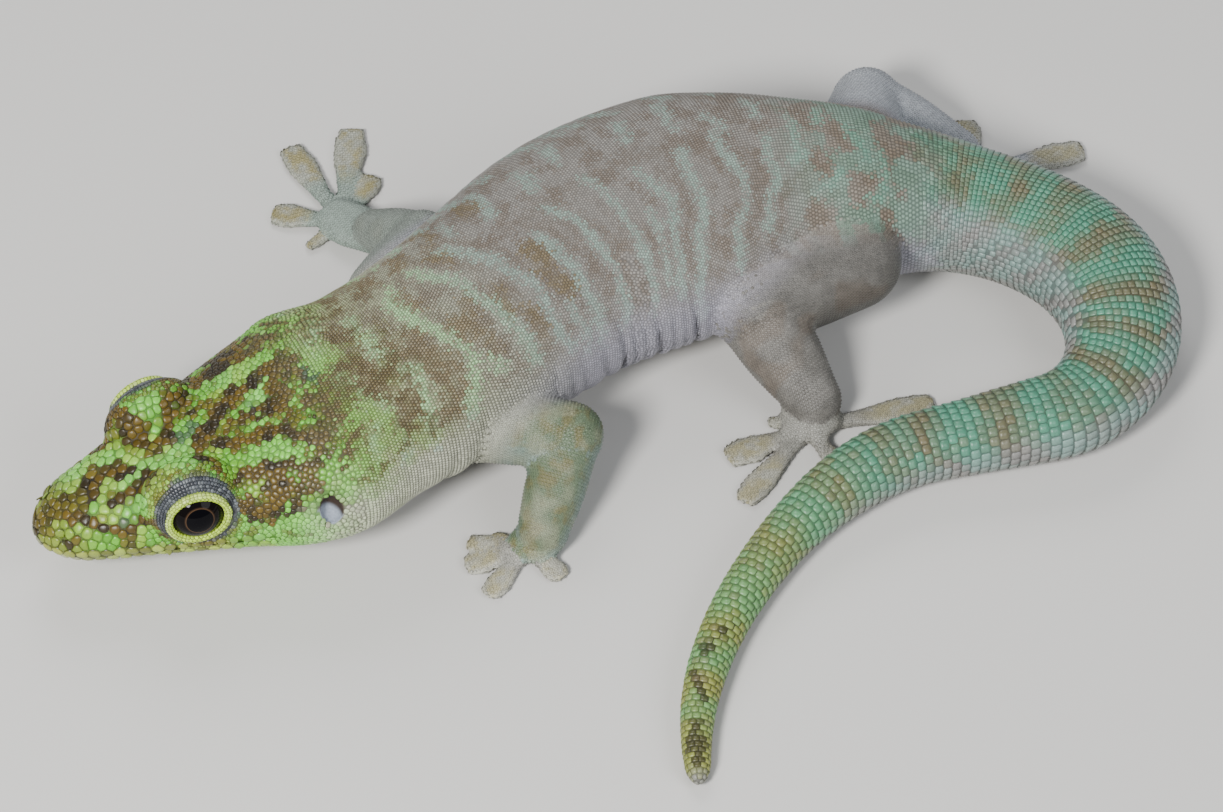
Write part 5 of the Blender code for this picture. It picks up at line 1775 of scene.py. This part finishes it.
def buildEye(eye):
    # A ball turned to its gaze: radius (cos p, sin p cos t, sin p sin t).
    side = "left" if eye["hand"] < 0 else "right"
    rows, sides = eyeForm["rows"], eyeForm["sides"]
    polar = np.linspace(0.004, np.pi - 0.01, rows)[:, None]
    turn = np.linspace(0, 2 * np.pi, sides, endpoint=False)[None, :]
    radius = headForm["eyeRadius"] - 0.01
    local = np.stack([
        radius * np.cos(polar) + 0 * turn,
        radius * np.sin(polar) * np.cos(turn),
        radius * np.sin(polar) * np.sin(turn),
    ], -1)
    c, h = np.cos(np.radians(eyeForm["gazeUp"])), np.sin(np.radians(eyeForm["gazeUp"]))
    gaze = np.array([[c, 0, h], [0, 1, 0], [-h, 0, c]])
    points, faces = closedTube(eye["centre"] + local @ gaze @ eye["axes"])
    piece = makeObject("eyeball_" + side, points, faces)
    v = np.concatenate([np.repeat(polar[:, 0] / np.pi, sides), [0.0, 1.0]])
    u = np.concatenate([np.tile(turn[0] / (2 * np.pi), rows), [0.5, 0.5]])
    uv = piece.data.uv_layers.new(name="UVMap")
    uv.data.foreach_set("uv", np.stack([u, v], 1)[faces.ravel()].astype(np.float32).ravel())
    piece.data.materials.append(eyeFinish)
    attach(piece, "root")
    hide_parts("eye_" + side)


for eye in eyes:
    buildEye(eye)
print("eyes")


# Studio

studioForm = {
    "floorSize": 900.0, "floorTone": (0.62, 0.61, 0.59, 1),
    # place, aim, width, watts and colour of each lamp
    "lamps": {
        "keyLamp": ((-190, -330, 360), (-10, 0, 5), 130, 3.9, (1.0, 0.99, 0.97)),
        "fillLamp": ((330, -220, 300), (0, 0, 5), 320, 1.1, (0.95, 0.97, 1.0)),
        "backLamp": ((-60, 360, 340), (0, 0, 5), 300, 1.0, (1.0, 1.0, 1.0)),
    },
    "sky": (0.86, 0.9, 0.95, 1), "skyStrength": 0.26,
    "lens": 142.35, "sensor": 36.0,
    "viewFrom": (-0.62, -330.45, 398.34), "viewAt": (-0.62, 3.8, 0.0),
}


def makeFloor():
    # One plain pale square to lie on, part of the studio.
    size = studioForm["floorSize"]
    points = np.array([[-size, -size, 0], [size, -size, 0], [size, size, 0], [-size, size, 0]])
    floor = makeObject("floor", points, np.array([[0, 1, 2, 3]]))
    finish, _, _, shader = newFinish("floorFinish")
    shader.inputs["Base Color"].default_value = studioForm["floorTone"]
    shader.inputs["Roughness"].default_value = 0.8
    floor.data.materials.append(finish)


def makeLamp(name, place, aim, size, power, colour):
    # A round lamp, turned to what it lights.
    light = bpy.data.lights.new(name, "AREA")
    light.shape = "DISK"
    light.size = size * mm
    light.energy = power
    light.color = colour
    lamp = bpy.data.objects.new(name, light)
    bpy.context.scene.collection.objects.link(lamp)
    lamp.location = Vector(place) * mm
    lamp.rotation_euler = (Vector(aim) - Vector(place)).to_track_quat("-Z", "Y").to_euler()


def makeCamera():
    # The photo's angle of view, about 50 degrees down.
    camera = bpy.data.cameras.new("camera")
    camera.lens = studioForm["lens"]
    camera.sensor_width = studioForm["sensor"]
    camera.clip_start = 0.01
    viewer = bpy.data.objects.new("camera", camera)
    bpy.context.scene.collection.objects.link(viewer)
    aim, place = Vector(studioForm["viewAt"]), Vector(studioForm["viewFrom"])
    viewer.location = place * mm
    viewer.rotation_euler = (aim - place).to_track_quat("-Z", "Y").to_euler()
    bpy.context.scene.camera = viewer


makeFloor()
for lampName, lampForm in studioForm["lamps"].items():
    makeLamp(lampName, *lampForm)
makeCamera()
world = bpy.data.worlds.new("studio")
world.use_nodes = True
sky = world.node_tree.nodes["Background"]
sky.inputs["Color"].default_value = studioForm["sky"]
sky.inputs["Strength"].default_value = studioForm["skyStrength"]
bpy.context.scene.world = world
print("studio")
